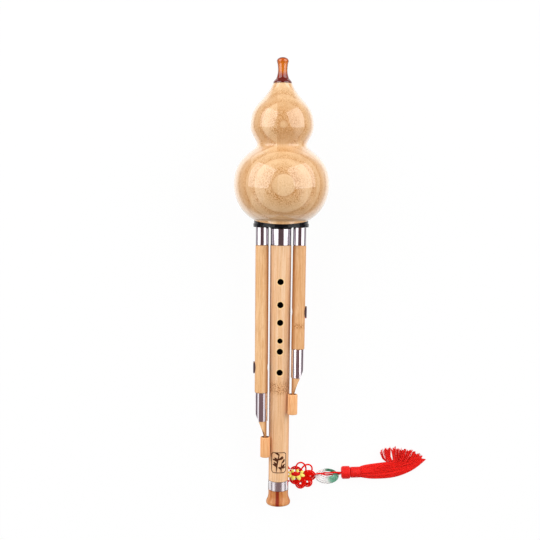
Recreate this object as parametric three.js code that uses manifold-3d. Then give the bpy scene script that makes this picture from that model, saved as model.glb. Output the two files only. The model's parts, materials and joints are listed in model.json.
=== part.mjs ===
// A hulusi, the free-reed gourd pipe: a turned bamboo gourd with a mouthpiece at its neck and
// three bamboo pipes in its foot, a fingered main pipe between two drones. It lies on its back,
// finger holes up, as it is laid on a table, with a cord, a knot and a tassel beside it.
//
// Lengths are millimetres. The instrument is built upright along Y, the bell's mouth at zero and
// the mouthpiece at the top, X to the player's right and Z out of the finger holes. It is then
// tilted onto its bulb and its bell, and centred on the floor.

import * as THREE from 'three';
import { mergeVertices } from 'three/addons/utils/BufferGeometryUtils.js';
import Module from 'manifold-3d';

const wasm = await Module();
wasm.setup();

// Fits, and the tool's overrun past a cut face
const fitGap = 0.3;
const overrun = 1;

// Gourd: two turned bulbs and a neck, hollow, each stretch measured up from the one below
const footRadius = 25.4;
const footHeight = 2.5;
const footFlare = 0.1;
const lowerBulbRadius = 44.2;
const lowerBulbRise = 32.2;
const waistRadius = 22.9;
const waistRise = 37.1;
const upperBulbRadius = 29.1;
const upperBulbRise = 16.4;
const neckRadius = 8.6;
const neckRise = 39.2;
const gourdWall = 4.5;
const gourdMouthRadius = 23;
// Each stretch's two curve handles, as shares of its change of radius and of its rise
const gourdCurveShares = [
  [[0.95, 0.29], [1, 0.91]],
  [[0, 0.745], [1, 0.83]],
  [[0, 0.2], [1, 0.57]],
  [[0, 0.57], [0.67, 0.55]],
];

// Mouthpiece: a cast resin spout whose tenon is lapped with cork
const mouthpieceLength = 23;
const mouthpieceRadius = 8.5;
const mouthTenonRadius = 4.2;
const mouthTenonLength = 15;
const mouthCorkRadius = 5;
const mouthCorkLength = 9;
const breathBoreRadius = 1.6;
// A flare, a slim throat and a domed bead, as shares of the mouthpiece's radius and length
const mouthpieceShares = [[1, 0], [0.95, 0.06], [0.7, 0.17], [0.585, 0.29], [0.52, 0.41], [0.505, 0.53],
  [0.53, 0.65], [0.575, 0.77], [0.64, 0.86], [0.54, 0.94], [0.3, 0.99]];

// Base: a wooden plug in the gourd's mouth under a black cover plate
const basePlugDepth = 9;
const coverRadius = 25.9;
const coverThickness = 2.8;
// A groove parts the cover's lower flange from its rim, which rises to meet the gourd's two sides
const flangeThickness = 2;
const grooveRadius = 24.6;
const grooveWidth = 0.5;
const rimRadius = 25.2;
const sideRise = 2.3;

// Collars: black bushes that the reed tubes stand in
const mainCollarRadius = 10.2;
const mainCollarThickness = 0.9;
const sideCollarRadius = 8.2;
const sideCollarThickness = 0.6;
const bossHeight = 0.9;
const bossRadius = 8.6;
const mainSpigotRadius = 7.2;
const sideSpigotRadius = 4.8;

// Reed tubes: brass tubes, stopped at the top, with a flat filed for the reed plate
const mainTubeRadius = 5.2;
const mainTubeBore = 4;
const sideTubeRadius = 2.9;
const sideTubeBore = 2.1;
const tubeRiseInGourd = 46;
const mainTenonLength = 14;
const sideTenonLength = 12;
const stopperDepth = 5;
const tenonCorkMargin = 2;
const mainCorkRadius = 5.9;
const sideCorkRadius = 3.6;

// Reeds: a bronze plate with a tongue cut free on three sides
const mainReed = {
  width: 5, length: 26, thickness: 0.6, tongueWidth: 1.8, tongueLength: 17, tongueThickness: 0.3,
};
const sideReed = {
  width: 3, length: 20, thickness: 0.5, tongueWidth: 1, tongueLength: 12, tongueThickness: 0.25,
};
const mainReedSeat = 4.6;
const sideReedSeat = 2.5;
const reedBelowTubeTop = 8;
const tongueTipShare = 0.67;

// Main pipe: bamboo, reduced at the top for its ferrule and at the foot for ring and bell
const mainPipeRadius = 9.8;
const mainPipeFootRadius = 9.4;
const mainPipeBore = 6.2;
const mainPipeLength = 224.9;
const mainFerruleRadius = 9.6;
const mainFerruleWall = 0.6;
const mainFerruleLength = 15.1;
const bellRingRadius = 9.5;
const bellRingWall = 0.8;
const bellRingLength = 8.8;
const spigotInBell = 5.5;

// Bell: a turned wooden end with a rounded lip
const bellLength = 14.1;
const bellTopRadius = 9.6;
const bellWaistRadius = 9.4;
const bellLipRadius = 11.5;
const bellMouthRadius = 8.2;
const bellMouthDepth = 4;
// The rounded lip as shares of its width, and the flare's ends and handles as shares of the length
const bellLipShares = [[0.67, 0], [0.89, 0.17], [1, 0.5]];
const bellFlareShares = [0.33, 0.33, 0.8];

// Finger holes up the front of the main pipe, thumb hole and tie holes at its back
const fingerHoleStations = [129.2, 149.1, 159.2, 176.4, 193.1, 214.7];
const fingerHoleRadius = 2.9;
const smallHoleIndex = 2;
const smallHoleRadius = 2.5;
const thumbHoleStation = 231;
const holeBevel = 0.45;
const tieHoleStations = [33, 42];
const tieHoleRadius = 1.3;

// Drones: bamboo side pipes, leaned forward so that their tips clear the main pipe
const droneOffset = 17.5;
const droneRadius = 6.15;
const droneBore = 3.9;
const droneFerruleRadius = 6.05;
const droneFerruleWall = 0.5;
const droneFerruleLength = 16.5;
const sleeveLength = 27;
const quillStart = 15.2;
const quillLength = 27.5;
// The cut's two curve handles, as shares of its depth across the pipe and of its length
const quillCurveShares = [[0.18, 0.35], [0.75, 0.55]];
const tongueInCap = 6;
const tongueWidth = 5.2;
const tongueDepth = 2.5;
const capRadius = 4.6;
const capBore = 3.15;
const capLength = 19.2;
const capCentreIn = 4.05;
const capRimRound = 0.8;
const eyeletHalfLength = 5.8;
const eyeletHalfWidth = 3.1;
const eyeletProud = 1.5;
const eyeletStemShare = 0.62;
const eyeletHoleShare = 0.42;
const drones = {
  left: { side: -1, lean: 2.05, toeIn: 0.15, sleeveTop: 155.7, eyelet: 132.1 },
  right: { side: 1, lean: 2.95, toeIn: 0.35, sleeveTop: 114.1, eyelet: 79.4 },
};

// Tie cord: a thin cord out of the tie holes. Its route, like every place beside the pipe, is
// measured from the lower tie hole's mouth across and along, and from the floor up.
const cordRadius = 0.75;
const floorGap = 0.1;
const tieRoute = [
  [11.07, -3.11, 2.1], [9.5, -1.31, 1.5], [7.73, 1.61, 0.95], [5.37, 5.19, 0.95], [2.7, 7.8, 1.4],
  [0.8, 8.8, 3], [0.1, 8.85, 5.2], [0, 8.75, 7.9], [0, 8.4, 10.4], [0, 6.6, 12.4], [0, 4.2, 12.8],
  [0, 1.9, 11.9], [0, 0.15, 9.6], [0, -0.2, 7], [0.1, -0.1, 4.6], [1.2, -0.6, 2.2], [3.35, -3.67, 1.05],
  [5.55, -8.13, 0.95], [7.91, -13.11, 1.2], [9.48, -14.49, 1.8], [10.86, -14.89, 2.1],
];

// Knot: a cord woven three times round into seven loops, with a flower of yellow buds on it
const knotPlace = [23.22, -9.01];
const knotLoops = 7;
const knotRounds = 3;
const knotStart = 153.4;
const knotOpening = 0.6;
const knotRadius = 7.8;
const knotReach = 4.7;
const knotHeight = 1.25;
const flowerPlace = [16.71, -7.03];
const budCount = 8;
const budSpread = [4.7, 2.7];
const budSize = [1.6, 2, 1];
const padShare = 0.6;

// Ring: an oval ring of milky glass that the hanging cords pass through
const ringPlace = [47.03, -9.25];
const ringHalf = [11.5, 7.4];
const ringHolePlace = [47.03, -7.1];
const ringHoleHalf = [5.9, 2.6];
const ringThickness = 3.5;

// Hanging cords: one goes over the ring's near side and under its far side, one the other way
const overRoute = [
  [28.56, -8.48, 5.3], [32.03, -7.85, 5.5], [35.9, -6.84, 6.2], [39.56, -6.18, 6.6], [42.64, -6.75, 6.2],
  [45.35, -7.78, 4.6], [47.68, -8.36, 2.6], [50.4, -8.36, 1.1], [53.49, -8.08, 0.95],
  [56.36, -7.82, 0.95], [58.3, -7.67, 1], [59.39, -7.41, 1.8], [59.85, -7.14, 3],
];
const underRoute = [
  [36.88, -9.7, 0.95], [39.34, -8.88, 0.95], [42.2, -7.3, 1.3], [44.6, -6.26, 3], [46.77, -5.9, 4.9],
  [49.58, -5.5, 6.4], [52.82, -5.03, 6.9], [56.3, -4.95, 6.8], [59.18, -5.05, 6.4],
];

// Tassel: a wrapped knob and neck over a skirt of red thread that fans out at its end
const headPlace = [60.62, -5.13];
const tasselTurn = 2.2;
const headLength = 8.8;
const headRadius = 6.1;
const headRound = 2;
const bindingLength = 9.2;
const bindingRadius = 5.2;
const cordInSkirt = 6;
const skirtLength = 63.4;
const skirtThickness = 10;
// Each row has the near edge's place, the far edge's place and the thickness
const skirtShares = [
  [0, -0.082, 0, 0.082, 1.02],
  [0.06, -0.088, 0.05, 0.098, 0.98],
  [0.19, -0.092, 0.15, 0.135, 0.84],
  [0.38, -0.075, 0.27, 0.175, 0.7],
  [0.6, -0.02, 0.35, 0.212, 0.56],
  [0.79, 0.085, 0.335, 0.26, 0.44],
  [0.97, 0.215, 0.3, 0.32, 0.34],
];
const skirtFlutes = 14;
const fluteShare = 0.14;
const strandShare = 0.03;

// Facets round each kind of turned piece
const gourdSides = 40;
const dishSides = 180;
const pipeSides = 32;
const droneSides = 24;
const smallSides = 20;
const outerCurveSteps = [6, 7, 4, 7];
const innerCurveSteps = [4, 4, 3, 4];
const mouthpieceSteps = 12;
const bellSteps = 4;
const quillSteps = 8;
const roundSteps = 3;
const holeSides = 12;
const cordSides = 8;
const cordStep = 2.4;
const knotSides = 6;
const knotSteps = 140;
const pointsApart = 14;
const budSides = 8;
const ringSides = 10;
const ringSteps = 28;

const degrees = Math.PI / 180;
const steepestTilt = 30;
const tiltHalvings = 40;

// Stations up the instrument, each piece seated on the one below it
const bellRingBottom = bellLength + fitGap;
const bellRingTop = bellRingBottom + bellRingLength;
const bambooBottom = bellRingTop + fitGap;
const bambooTop = bambooBottom + mainPipeLength;
const mainFerruleBottom = bambooTop + fitGap;
const mainFerruleTop = mainFerruleBottom + mainFerruleLength;
const mainCollarBottom = mainFerruleTop + fitGap;
const mainCollarTop = mainCollarBottom + mainCollarThickness;
const coverBottom = mainCollarTop + bossHeight + fitGap;
const coverTop = coverBottom + coverThickness;
const gourdFoot = coverTop + fitGap;
const plugTop = gourdFoot + basePlugDepth;
const sideCollarTop = coverBottom - fitGap;
const sideCollarBottom = sideCollarTop - sideCollarThickness;
const gourdTop = gourdFoot + footHeight + lowerBulbRise + waistRise + upperBulbRise + neckRise;
const mouthpieceBottom = gourdTop + fitGap;
const tubeTop = plugTop + tubeRiseInGourd;

const colours = {
  bamboo: [0xe2bd8c, 0.45, 0],
  gourd: [0xe0bb8e, 0.25, 0],
  resin: [0xa8500f, 0.2, 0],
  black: [0x14141a, 0.35, 0],
  chrome: [0xd8d8dc, 0.12, 1],
  brass: [0xc29a45, 0.3, 1],
  bronze: [0xb07a3c, 0.35, 1],
  cork: [0xb98a5c, 0.9, 0],
  wood: [0xc99a62, 0.5, 0],
  bell: [0xc98f58, 0.4, 0],
  cap: [0xe8ac70, 0.55, 0],
  cord: [0xd8211c, 0.8, 0],
  thread: [0xf4d23a, 0.7, 0],
  glass: [0xdfe9e2, 0.15, 0],
};

function material([color, roughness, metalness]) {
  return new THREE.MeshStandardMaterial({ color, roughness, metalness });
}

function piece(name, geometry, colour) {
  const mesh = new THREE.Mesh(geometry, material(colour));
  mesh.name = name;
  return mesh;
}

// A geometry with its shared vertices merged and the flat triangles at its poles left out
function plain(geometry) {
  const bare = geometry.clone();
  bare.deleteAttribute('normal');
  bare.deleteAttribute('uv');
  const merged = mergeVertices(bare);
  const corners = merged.getIndex().array;
  const kept = [];
  for (let i = 0; i < corners.length; i += 3) {
    const [a, b, c] = corners.slice(i, i + 3);
    if (a !== b && b !== c && c !== a) kept.push(a, b, c);
  }
  merged.setIndex(kept);
  return merged;
}

function solid(geometry) {
  const merged = plain(geometry);
  return new wasm.Manifold(new wasm.Mesh({
    numProp: 3,
    vertProperties: new Float32Array(merged.getAttribute('position').array),
    triVerts: new Uint32Array(merged.getIndex().array),
  }));
}

function geometryOf(body) {
  const mesh = body.getMesh();
  const geometry = new THREE.BufferGeometry();
  geometry.setAttribute('position', new THREE.BufferAttribute(mesh.vertProperties, 3));
  geometry.setIndex(new THREE.BufferAttribute(mesh.triVerts, 1));
  return geometry;
}

// A piece turned about Y from [radius, height] points, with a flat facet at its front and back
function turned(outline, sides) {
  const points = outline.map(([radius, height]) => new THREE.Vector2(radius, height));
  return plain(new THREE.LatheGeometry(points, sides, Math.PI / sides));
}

function sleeve(outer, inner, bottom, top, sides) {
  return turned([[inner, bottom], [outer, bottom], [outer, top], [inner, top], [inner, bottom]], sides);
}

function rod(radius, bottom, top, sides) {
  return turned([[0, bottom], [radius, bottom], [radius, top], [0, top]], sides);
}

// A block by its middle and its full sizes
function block(centre, size) {
  return new THREE.BoxGeometry(...size).translate(...centre);
}

// A drill through one wall of a pipe, toward the front or the back, with a bevel at its mouth
function wallDrill(radius, station, pipeRadius, direction, sides) {
  const depth = pipeRadius + overrun;
  const hole = new THREE.CylinderGeometry(radius, radius, depth, sides);
  hole.rotateX(Math.PI / 2).translate(0, station, direction * depth / 2);
  const bevel = new THREE.CylinderGeometry(radius + 2 * holeBevel, radius, 2 * holeBevel, sides);
  bevel.rotateX(direction * Math.PI / 2).translate(0, station, direction * pipeRadius);
  return [hole, bevel];
}

// Gourd: the outside is four curves between foot, widest bulb, waist, upper bulb and neck

function gourdOutline(wall, steps) {
  const stations = [[footRadius + footFlare, gourdFoot + footHeight]];
  const stretches = [[lowerBulbRadius, lowerBulbRise], [waistRadius, waistRise],
    [upperBulbRadius, upperBulbRise], [neckRadius, neckRise]];
  for (const [radius, rise] of stretches) stations.push([radius, stations[stations.length - 1][1] + rise]);
  const between = (from, to, [spread, rise]) => new THREE.Vector2(
    from[0] + spread * (to[0] - from[0]) - wall, from[1] + rise * (to[1] - from[1]));
  const start = new THREE.Vector2(stations[0][0] - wall, stations[0][1]);
  const points = gourdCurveShares.flatMap((handles, i) => {
    const ends = [stations[i], stations[i + 1]];
    const curve = [[0, 0], ...handles, [1, 1]].map((shares) => between(...ends, shares));
    return new THREE.CubicBezierCurve(...curve).getPoints(steps[i]).slice(1);
  });
  return [start, ...points].map((p) => [p.x, p.y]);
}

// The joint between gourd and cover is a wide arc across the instrument, lowest at its middle.
// Everything above it, held clear of it by so much.
function dished(clearance) {
  const radius = (coverRadius ** 2 + sideRise ** 2) / (2 * sideRise) - clearance;
  const arc = new THREE.CylinderGeometry(radius, radius, 4 * lowerBulbRadius, dishSides);
  return solid(arc.rotateX(Math.PI / 2).translate(0, gourdFoot + clearance + radius, 0));
}

function gourdBody() {
  const outside = [[footRadius, gourdFoot], ...gourdOutline(0, outerCurveSteps)];
  const socketRadius = mouthCorkRadius + fitGap;
  const socketBottom = gourdTop - mouthTenonLength - overrun;
  const ledge = plugTop + fitGap;
  const inside = gourdOutline(gourdWall, innerCurveSteps)
    .filter(([radius, height]) => height > ledge && height < socketBottom && radius > socketRadius);
  inside.reverse();
  const low = inside[inside.length - 1];
  const high = inside[0];
  const outline = [[gourdMouthRadius, gourdFoot], ...outside, [socketRadius, gourdTop],
    [socketRadius, socketBottom], [high[0], socketBottom], ...inside, [low[0], ledge],
    [gourdMouthRadius, ledge], [gourdMouthRadius, gourdFoot]];
  const body = solid(turned(outline, gourdSides)).intersect(dished(0));
  return piece('gourd_body', geometryOf(body), colours.gourd);
}

// Mouthpiece: the turned spout and the cork lapped round its tenon

function mouthpiece() {
  const spline = new THREE.SplineCurve(mouthpieceShares.map(([radius, height]) => (
    new THREE.Vector2(radius * mouthpieceRadius, mouthpieceBottom + height * mouthpieceLength))));
  const outside = spline.getPoints(mouthpieceSteps).map((p) => [p.x, p.y]);
  const top = mouthpieceBottom + mouthpieceLength;
  const tenonBottom = mouthpieceBottom - mouthTenonLength;
  const outline = [[breathBoreRadius, tenonBottom], [mouthTenonRadius, tenonBottom],
    [mouthTenonRadius, mouthpieceBottom], ...outside, [breathBoreRadius, top],
    [breathBoreRadius, tenonBottom]];
  const lapBottom = tenonBottom + (mouthTenonLength - mouthCorkLength) / 2;
  const lapTop = lapBottom + mouthCorkLength;
  const lap = sleeve(mouthCorkRadius, mouthTenonRadius + fitGap, lapBottom, lapTop, smallSides);
  return [
    piece('mouthpiece', turned(outline, droneSides), colours.resin),
    piece('mouthpiece_cork', lap, colours.cork),
  ];
}

// Base: plug, cover plate and collars, all pierced for the three reed tubes

// The place of a drone: its collar's lower face, turned for toe-in and leaned forward
function droneGroup({ side, lean, toeIn }) {
  const group = new THREE.Group();
  group.position.set(side * droneOffset, sideCollarBottom, 0);
  group.rotation.set(-lean * degrees, 0, -side * toeIn * degrees);
  const facing = new THREE.Group();
  facing.rotation.y = side > 0 ? Math.PI : 0;
  group.add(facing);
  group.updateMatrixWorld(true);
  return { group, facing };
}

const droneGroups = { left: droneGroup(drones.left), right: droneGroup(drones.right) };

// The way of a drone's tube through the base, as a rod in the instrument's frame
function tubeWay(name, radius) {
  const way = rod(radius, -sideTenonLength, tubeTop - sideCollarBottom, smallSides);
  return solid(way.applyMatrix4(droneGroups[name].group.matrixWorld));
}

function basePieces() {
  const spigotWay = (x, radius) => solid(rod(radius + fitGap, mainCollarBottom, plugTop + overrun, smallSides)
    .translate(x, 0, 0));
  let plug = solid(rod(gourdMouthRadius - fitGap, gourdFoot, plugTop, gourdSides)).intersect(dished(0));
  const grooveBottom = coverBottom + flangeThickness;
  const grooveTop = grooveBottom + grooveWidth;
  const rimTop = coverTop + sideRise;
  const disc = turned([[0, coverBottom], [coverRadius, coverBottom], [coverRadius, grooveBottom],
    [grooveRadius, grooveBottom], [grooveRadius, grooveTop], [rimRadius, grooveTop], [rimRadius, rimTop],
    [0, rimTop]], gourdSides);
  let cover = solid(disc).subtract(dished(-fitGap));
  const ways = [[0, mainSpigotRadius], [-droneOffset, sideSpigotRadius], [droneOffset, sideSpigotRadius]];
  for (const [x, radius] of ways) {
    cover = cover.subtract(spigotWay(x, radius));
  }
  plug = plug.subtract(spigotWay(0, mainTubeRadius));
  for (const name of Object.keys(drones)) {
    plug = plug.subtract(tubeWay(name, sideTubeRadius + fitGap));
  }
  return [
    piece('base_plug', geometryOf(plug), colours.wood),
    piece('base_cover', geometryOf(cover), colours.black),
  ];
}

function collars() {
  const spigotTop = coverTop - fitGap;
  const bore = mainTubeRadius + fitGap;
  const main = turned([[bore, mainCollarBottom], [mainCollarRadius, mainCollarBottom],
    [mainCollarRadius, mainCollarTop], [bossRadius, mainCollarTop], [bossRadius, sideCollarTop],
    [mainSpigotRadius, sideCollarTop], [mainSpigotRadius, spigotTop], [bore, spigotTop],
    [bore, mainCollarBottom]], pipeSides);
  const pieces = [piece('collar_main', main, colours.black)];
  for (const [name, drone] of Object.entries(drones)) {
    const bush = turned([[0, sideCollarBottom], [sideCollarRadius, sideCollarBottom],
      [sideCollarRadius, sideCollarTop], [sideSpigotRadius, sideCollarTop],
      [sideSpigotRadius, spigotTop], [0, spigotTop]], droneSides).translate(drone.side * droneOffset, 0, 0);
    // The boss of the main collar stands between the side flanges, which are cut back round it
    const bossWay = solid(rod(bossRadius + fitGap, sideCollarBottom - overrun, spigotTop, pipeSides));
    const cut = solid(bush).subtract(tubeWay(name, sideTubeRadius + fitGap)).subtract(bossWay);
    pieces.push(piece(`collar_${name}`, geometryOf(cut), colours.black));
  }
  return pieces;
}

// Reed tube with its stopper, cork lap, plate and tongue, standing on its tube's own axis

function reedSet(name, { radius, bore, bottom, top, seat, reed, corkRadius, corkBottom, corkTop }) {
  const plateTop = top - reedBelowTubeTop;
  const plateBottom = plateTop - reed.length;
  const plateMiddle = (plateTop + plateBottom) / 2;
  const rootY = plateTop - (reed.length - reed.tongueLength) / 2;
  const tipY = rootY - reed.tongueLength;
  const slotWidth = reed.tongueWidth + 2 * fitGap;
  const slotLength = reed.tongueLength + 2 * fitGap;
  const slotMiddle = (rootY + tipY) / 2;
  const flat = solid(block([0, plateMiddle, seat + radius / 2],
    [2 * radius, reed.length + 2 * fitGap, radius]));
  const window = solid(block([0, slotMiddle, radius], [slotWidth, slotLength, 2 * radius]));
  const tube = solid(sleeve(radius, bore, bottom, top, smallSides)).subtract(flat).subtract(window);
  const plateBack = seat + fitGap;
  const plate = solid(block([0, plateMiddle, plateBack + reed.thickness / 2],
    [reed.width, reed.length, reed.thickness])).subtract(window);
  // The tongue lies in the plate's slot with a gap all round it and tapers to its tip
  const rootHalf = reed.tongueWidth / 2;
  const tipHalf = tongueTipShare * rootHalf;
  const lap = sleeve(corkRadius, radius + fitGap, corkBottom, corkTop, smallSides);
  const shape = new THREE.Shape([new THREE.Vector2(-rootHalf, rootY), new THREE.Vector2(-tipHalf, tipY),
    new THREE.Vector2(tipHalf, tipY), new THREE.Vector2(rootHalf, rootY)]);
  const tongue = new THREE.ExtrudeGeometry(shape, { depth: reed.tongueThickness, bevelEnabled: false });
  tongue.translate(0, 0, plateBack + (reed.thickness - reed.tongueThickness) / 2);
  return [
    piece(`reed_tube_${name}`, geometryOf(tube), colours.brass),
    piece(`tube_stopper_${name}`, rod(bore - fitGap, top - stopperDepth, top, smallSides), colours.cork),
    piece(`tenon_cork_${name}`, lap, colours.cork),
    piece(`reed_plate_${name}`, geometryOf(plate), colours.bronze),
    piece(`reed_tongue_${name}`, tongue, colours.bronze),
  ];
}

function mainReedSet() {
  const bottom = mainCollarBottom - mainTenonLength;
  return reedSet('main', {
    radius: mainTubeRadius, bore: mainTubeBore, bottom, top: tubeTop, seat: mainReedSeat, reed: mainReed,
    corkRadius: mainCorkRadius, corkBottom: bottom + tenonCorkMargin,
    corkTop: mainCollarBottom - tenonCorkMargin,
  });
}

function sideReedSet(name) {
  return reedSet(name, {
    radius: sideTubeRadius, bore: sideTubeBore, bottom: -sideTenonLength, top: tubeTop - sideCollarBottom,
    seat: sideReedSeat, reed: sideReed, corkRadius: sideCorkRadius,
    corkBottom: -sideTenonLength + tenonCorkMargin, corkTop: -tenonCorkMargin,
  });
}

// Main pipe with its ferrule, ring and bell

function mainPipe() {
  const shank = mainFerruleRadius - mainFerruleWall - fitGap;
  const spigot = bellRingRadius - bellRingWall - fitGap;
  const spigotBottom = bellLength - spigotInBell;
  const outline = [[mainPipeBore, spigotBottom], [spigot, spigotBottom], [spigot, bambooBottom],
    [mainPipeFootRadius, bambooBottom], [mainPipeRadius, bambooTop], [shank, bambooTop],
    [shank, mainFerruleTop], [mainPipeBore, mainFerruleTop], [mainPipeBore, spigotBottom]];
  let pipe = solid(turned(outline, pipeSides));
  const drills = fingerHoleStations.flatMap((station, i) => {
    const radius = i === smallHoleIndex ? smallHoleRadius : fingerHoleRadius;
    return wallDrill(radius, station, mainPipeRadius, 1, holeSides);
  });
  drills.push(...wallDrill(fingerHoleRadius, thumbHoleStation, mainPipeRadius, -1, holeSides));
  for (const station of tieHoleStations) {
    drills.push(wallDrill(tieHoleRadius, station, mainPipeRadius, -1, holeSides)[0]);
  }
  for (const drill of drills) pipe = pipe.subtract(solid(drill));
  return piece('main_pipe', geometryOf(pipe), colours.bamboo);
}

function bell() {
  const socket = bellRingRadius - bellRingWall;
  const socketBottom = bellLength - spigotInBell - fitGap;
  const lip = bellLipRadius - bellMouthRadius;
  const round = bellLipShares.map(([out, up]) => [bellMouthRadius + out * lip, up * lip]);
  const [, lipEnd] = round[round.length - 1];
  const [lowHandle, highHandle, flareEnd] = bellFlareShares.map((share) => share * bellLength);
  const flare = new THREE.CubicBezierCurve(
    new THREE.Vector2(bellLipRadius, lipEnd), new THREE.Vector2(bellLipRadius, lowHandle),
    new THREE.Vector2(bellWaistRadius, highHandle), new THREE.Vector2(bellWaistRadius, flareEnd));
  const flarePoints = flare.getPoints(bellSteps).slice(1).map((p) => [p.x, p.y]);
  const outline = [[bellMouthRadius, 0], ...round, ...flarePoints, [bellTopRadius, bellLength],
    [socket, bellLength], [socket, socketBottom], [mainPipeBore, socketBottom],
    [mainPipeBore, bellMouthDepth], [bellMouthRadius, 0]];
  return piece('bell', turned(outline, pipeSides), colours.bell);
}

function mainPipePieces() {
  return [
    mainPipe(),
    piece('ferrule_main', sleeve(mainFerruleRadius, mainFerruleRadius - mainFerruleWall,
      mainFerruleBottom, mainFerruleTop, pipeSides), colours.chrome),
    piece('bell_ring', sleeve(bellRingRadius, bellRingRadius - bellRingWall,
      bellRingBottom, bellRingTop, pipeSides), colours.chrome),
    bell(),
  ];
}

// Drone: measured down from its collar, with the main pipe on its +X side

// What the oblique quill cut takes away: everything outside a curve that runs to the tongue
function quillCut(sleeveTopY) {
  const start = sleeveTopY - quillStart;
  const tongueEdge = droneFerruleRadius - droneFerruleWall - fitGap - tongueDepth;
  const drop = droneRadius + tongueEdge;
  const places = [[0, 0], ...quillCurveShares, [1, 1]]
    .map(([across, down]) => new THREE.Vector2(-droneRadius + across * drop, start - down * quillLength));
  const edge = new THREE.CubicBezierCurve(...places).getPoints(quillSteps);
  const farX = -droneRadius - overrun;
  const end = start - quillLength - tongueInCap - overrun;
  const shape = new THREE.Shape([new THREE.Vector2(farX, start), ...edge,
    new THREE.Vector2(tongueEdge, end), new THREE.Vector2(farX, end)]);
  const depth = 2 * (droneRadius + overrun);
  return solid(new THREE.ExtrudeGeometry(shape, { depth, bevelEnabled: false }).translate(0, 0, -depth / 2));
}

// What is pared off one side of the tongue: a wedge below the sleeve, then a straight side
function pareWedge(side, sleeveBottom, capTop) {
  const wide = droneRadius + overrun;
  const end = capTop - tongueInCap - overrun;
  const half = tongueWidth / 2;
  const points = [[wide, sleeveBottom], [half, capTop + fitGap], [half, end], [wide, end]];
  const shape = new THREE.Shape(points.map(([z, y]) => new THREE.Vector2(-side * z, y)));
  const wedge = new THREE.ExtrudeGeometry(shape, { depth: 2 * wide, bevelEnabled: false });
  return wedge.translate(0, 0, -wide).rotateY(Math.PI / 2);
}

function ovalRod(halfLength, halfWidth, from, to) {
  const rodAlong = new THREE.CylinderGeometry(1, 1, 1, smallSides);
  return solid(rodAlong.rotateZ(Math.PI / 2).scale(to - from, halfLength, halfWidth)
    .translate((from + to) / 2, 0, 0));
}

function eyelet(station) {
  const outer = -droneRadius - eyeletProud;
  const stemEnd = -droneBore - fitGap;
  const flange = ovalRod(eyeletHalfLength, eyeletHalfWidth, outer, stemEnd);
  const saddle = solid(rod(droneRadius + fitGap, -2 * eyeletHalfLength, 2 * eyeletHalfLength, droneSides));
  const stem = ovalRod(eyeletStemShare * eyeletHalfLength, eyeletStemShare * eyeletHalfWidth, outer, stemEnd);
  const hole = ovalRod(eyeletHoleShare * eyeletHalfLength, eyeletHoleShare * eyeletHalfWidth,
    outer - overrun, stemEnd + overrun);
  return geometryOf(flange.subtract(saddle).add(stem).subtract(hole)).translate(0, station, 0);
}

function dronePieces(name) {
  const drone = drones[name];
  const shank = droneFerruleRadius - droneFerruleWall - fitGap;
  const clearTop = fitGap + droneFerruleRadius * Math.sin(drone.lean * degrees);
  const ferruleTop = -clearTop;
  const ferruleBottom = ferruleTop - droneFerruleLength;
  const sleeveTop = -drone.sleeveTop;
  const sleeveBottom = sleeveTop - sleeveLength;
  const capTop = sleeveTop - quillStart - quillLength;
  const pipeEnd = capTop - tongueInCap;
  const outline = [[droneBore, pipeEnd], [shank, pipeEnd], [shank, sleeveTop + fitGap],
    [droneRadius, sleeveTop + fitGap], [droneRadius, ferruleBottom - fitGap],
    [shank, ferruleBottom - fitGap], [shank, ferruleTop], [droneBore, ferruleTop], [droneBore, pipeEnd]];
  const soundHole = ovalRod(eyeletStemShare * eyeletHalfLength + fitGap,
    eyeletStemShare * eyeletHalfWidth + fitGap, -droneRadius - overrun, 0).translate([0, -drone.eyelet, 0]);
  const cut = quillCut(sleeveTop);
  let pipe = solid(turned(outline, droneSides)).subtract(cut).subtract(soundHole);
  for (const side of [-1, 1]) pipe = pipe.subtract(solid(pareWedge(side, sleeveBottom, capTop)));
  const tube = solid(sleeve(droneFerruleRadius, droneFerruleRadius - droneFerruleWall,
    sleeveBottom, sleeveTop, droneSides)).subtract(cut);
  const round = capRimRound;
  const capBottom = capTop - capLength;
  const cap = turned([[capBore, capBottom], [capRadius - round, capBottom], [capRadius, capBottom + round],
    [capRadius, capTop - round], [capRadius - round, capTop], [capBore, capTop],
    [capBore, capBottom]], droneSides);
  return [
    piece(`ferrule_${name}`, sleeve(droneFerruleRadius, droneFerruleRadius - droneFerruleWall,
      ferruleBottom, ferruleTop, droneSides), colours.chrome),
    piece(`drone_pipe_${name}`, geometryOf(pipe), colours.bamboo),
    piece(`eyelet_${name}`, eyelet(-drone.eyelet), colours.chrome),
    piece(`quill_sleeve_${name}`, geometryOf(tube), colours.chrome),
    piece(`tip_cap_${name}`, cap.translate(capCentreIn, 0, 0), colours.cap),
  ];
}

// The instrument stands on two places: the tilt at which bulb and bell reach equally low

function lowest(mesh, tilt) {
  const place = mesh.geometry.getAttribute('position');
  let low = Infinity;
  for (let i = 0; i < place.count; i += 1) {
    low = Math.min(low, place.getY(i) * Math.sin(tilt) + place.getZ(i) * Math.cos(tilt));
  }
  return low;
}

function restingTilt(bulb, end) {
  let [less, more] = [0, steepestTilt * degrees];
  for (let i = 0; i < tiltHalvings; i += 1) {
    const middle = (less + more) / 2;
    if (lowest(bulb, middle) < lowest(end, middle)) less = middle;
    else more = middle;
  }
  return less;
}

const instrument = new THREE.Group();
const gourd = gourdBody();
instrument.add(gourd, ...mouthpiece(), ...basePieces(), ...collars(), ...mainReedSet(), ...mainPipePieces());
for (const [name, { group, facing }] of Object.entries(droneGroups)) {
  facing.add(...sideReedSet(name), ...dronePieces(name));
  instrument.add(group);
}

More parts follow.
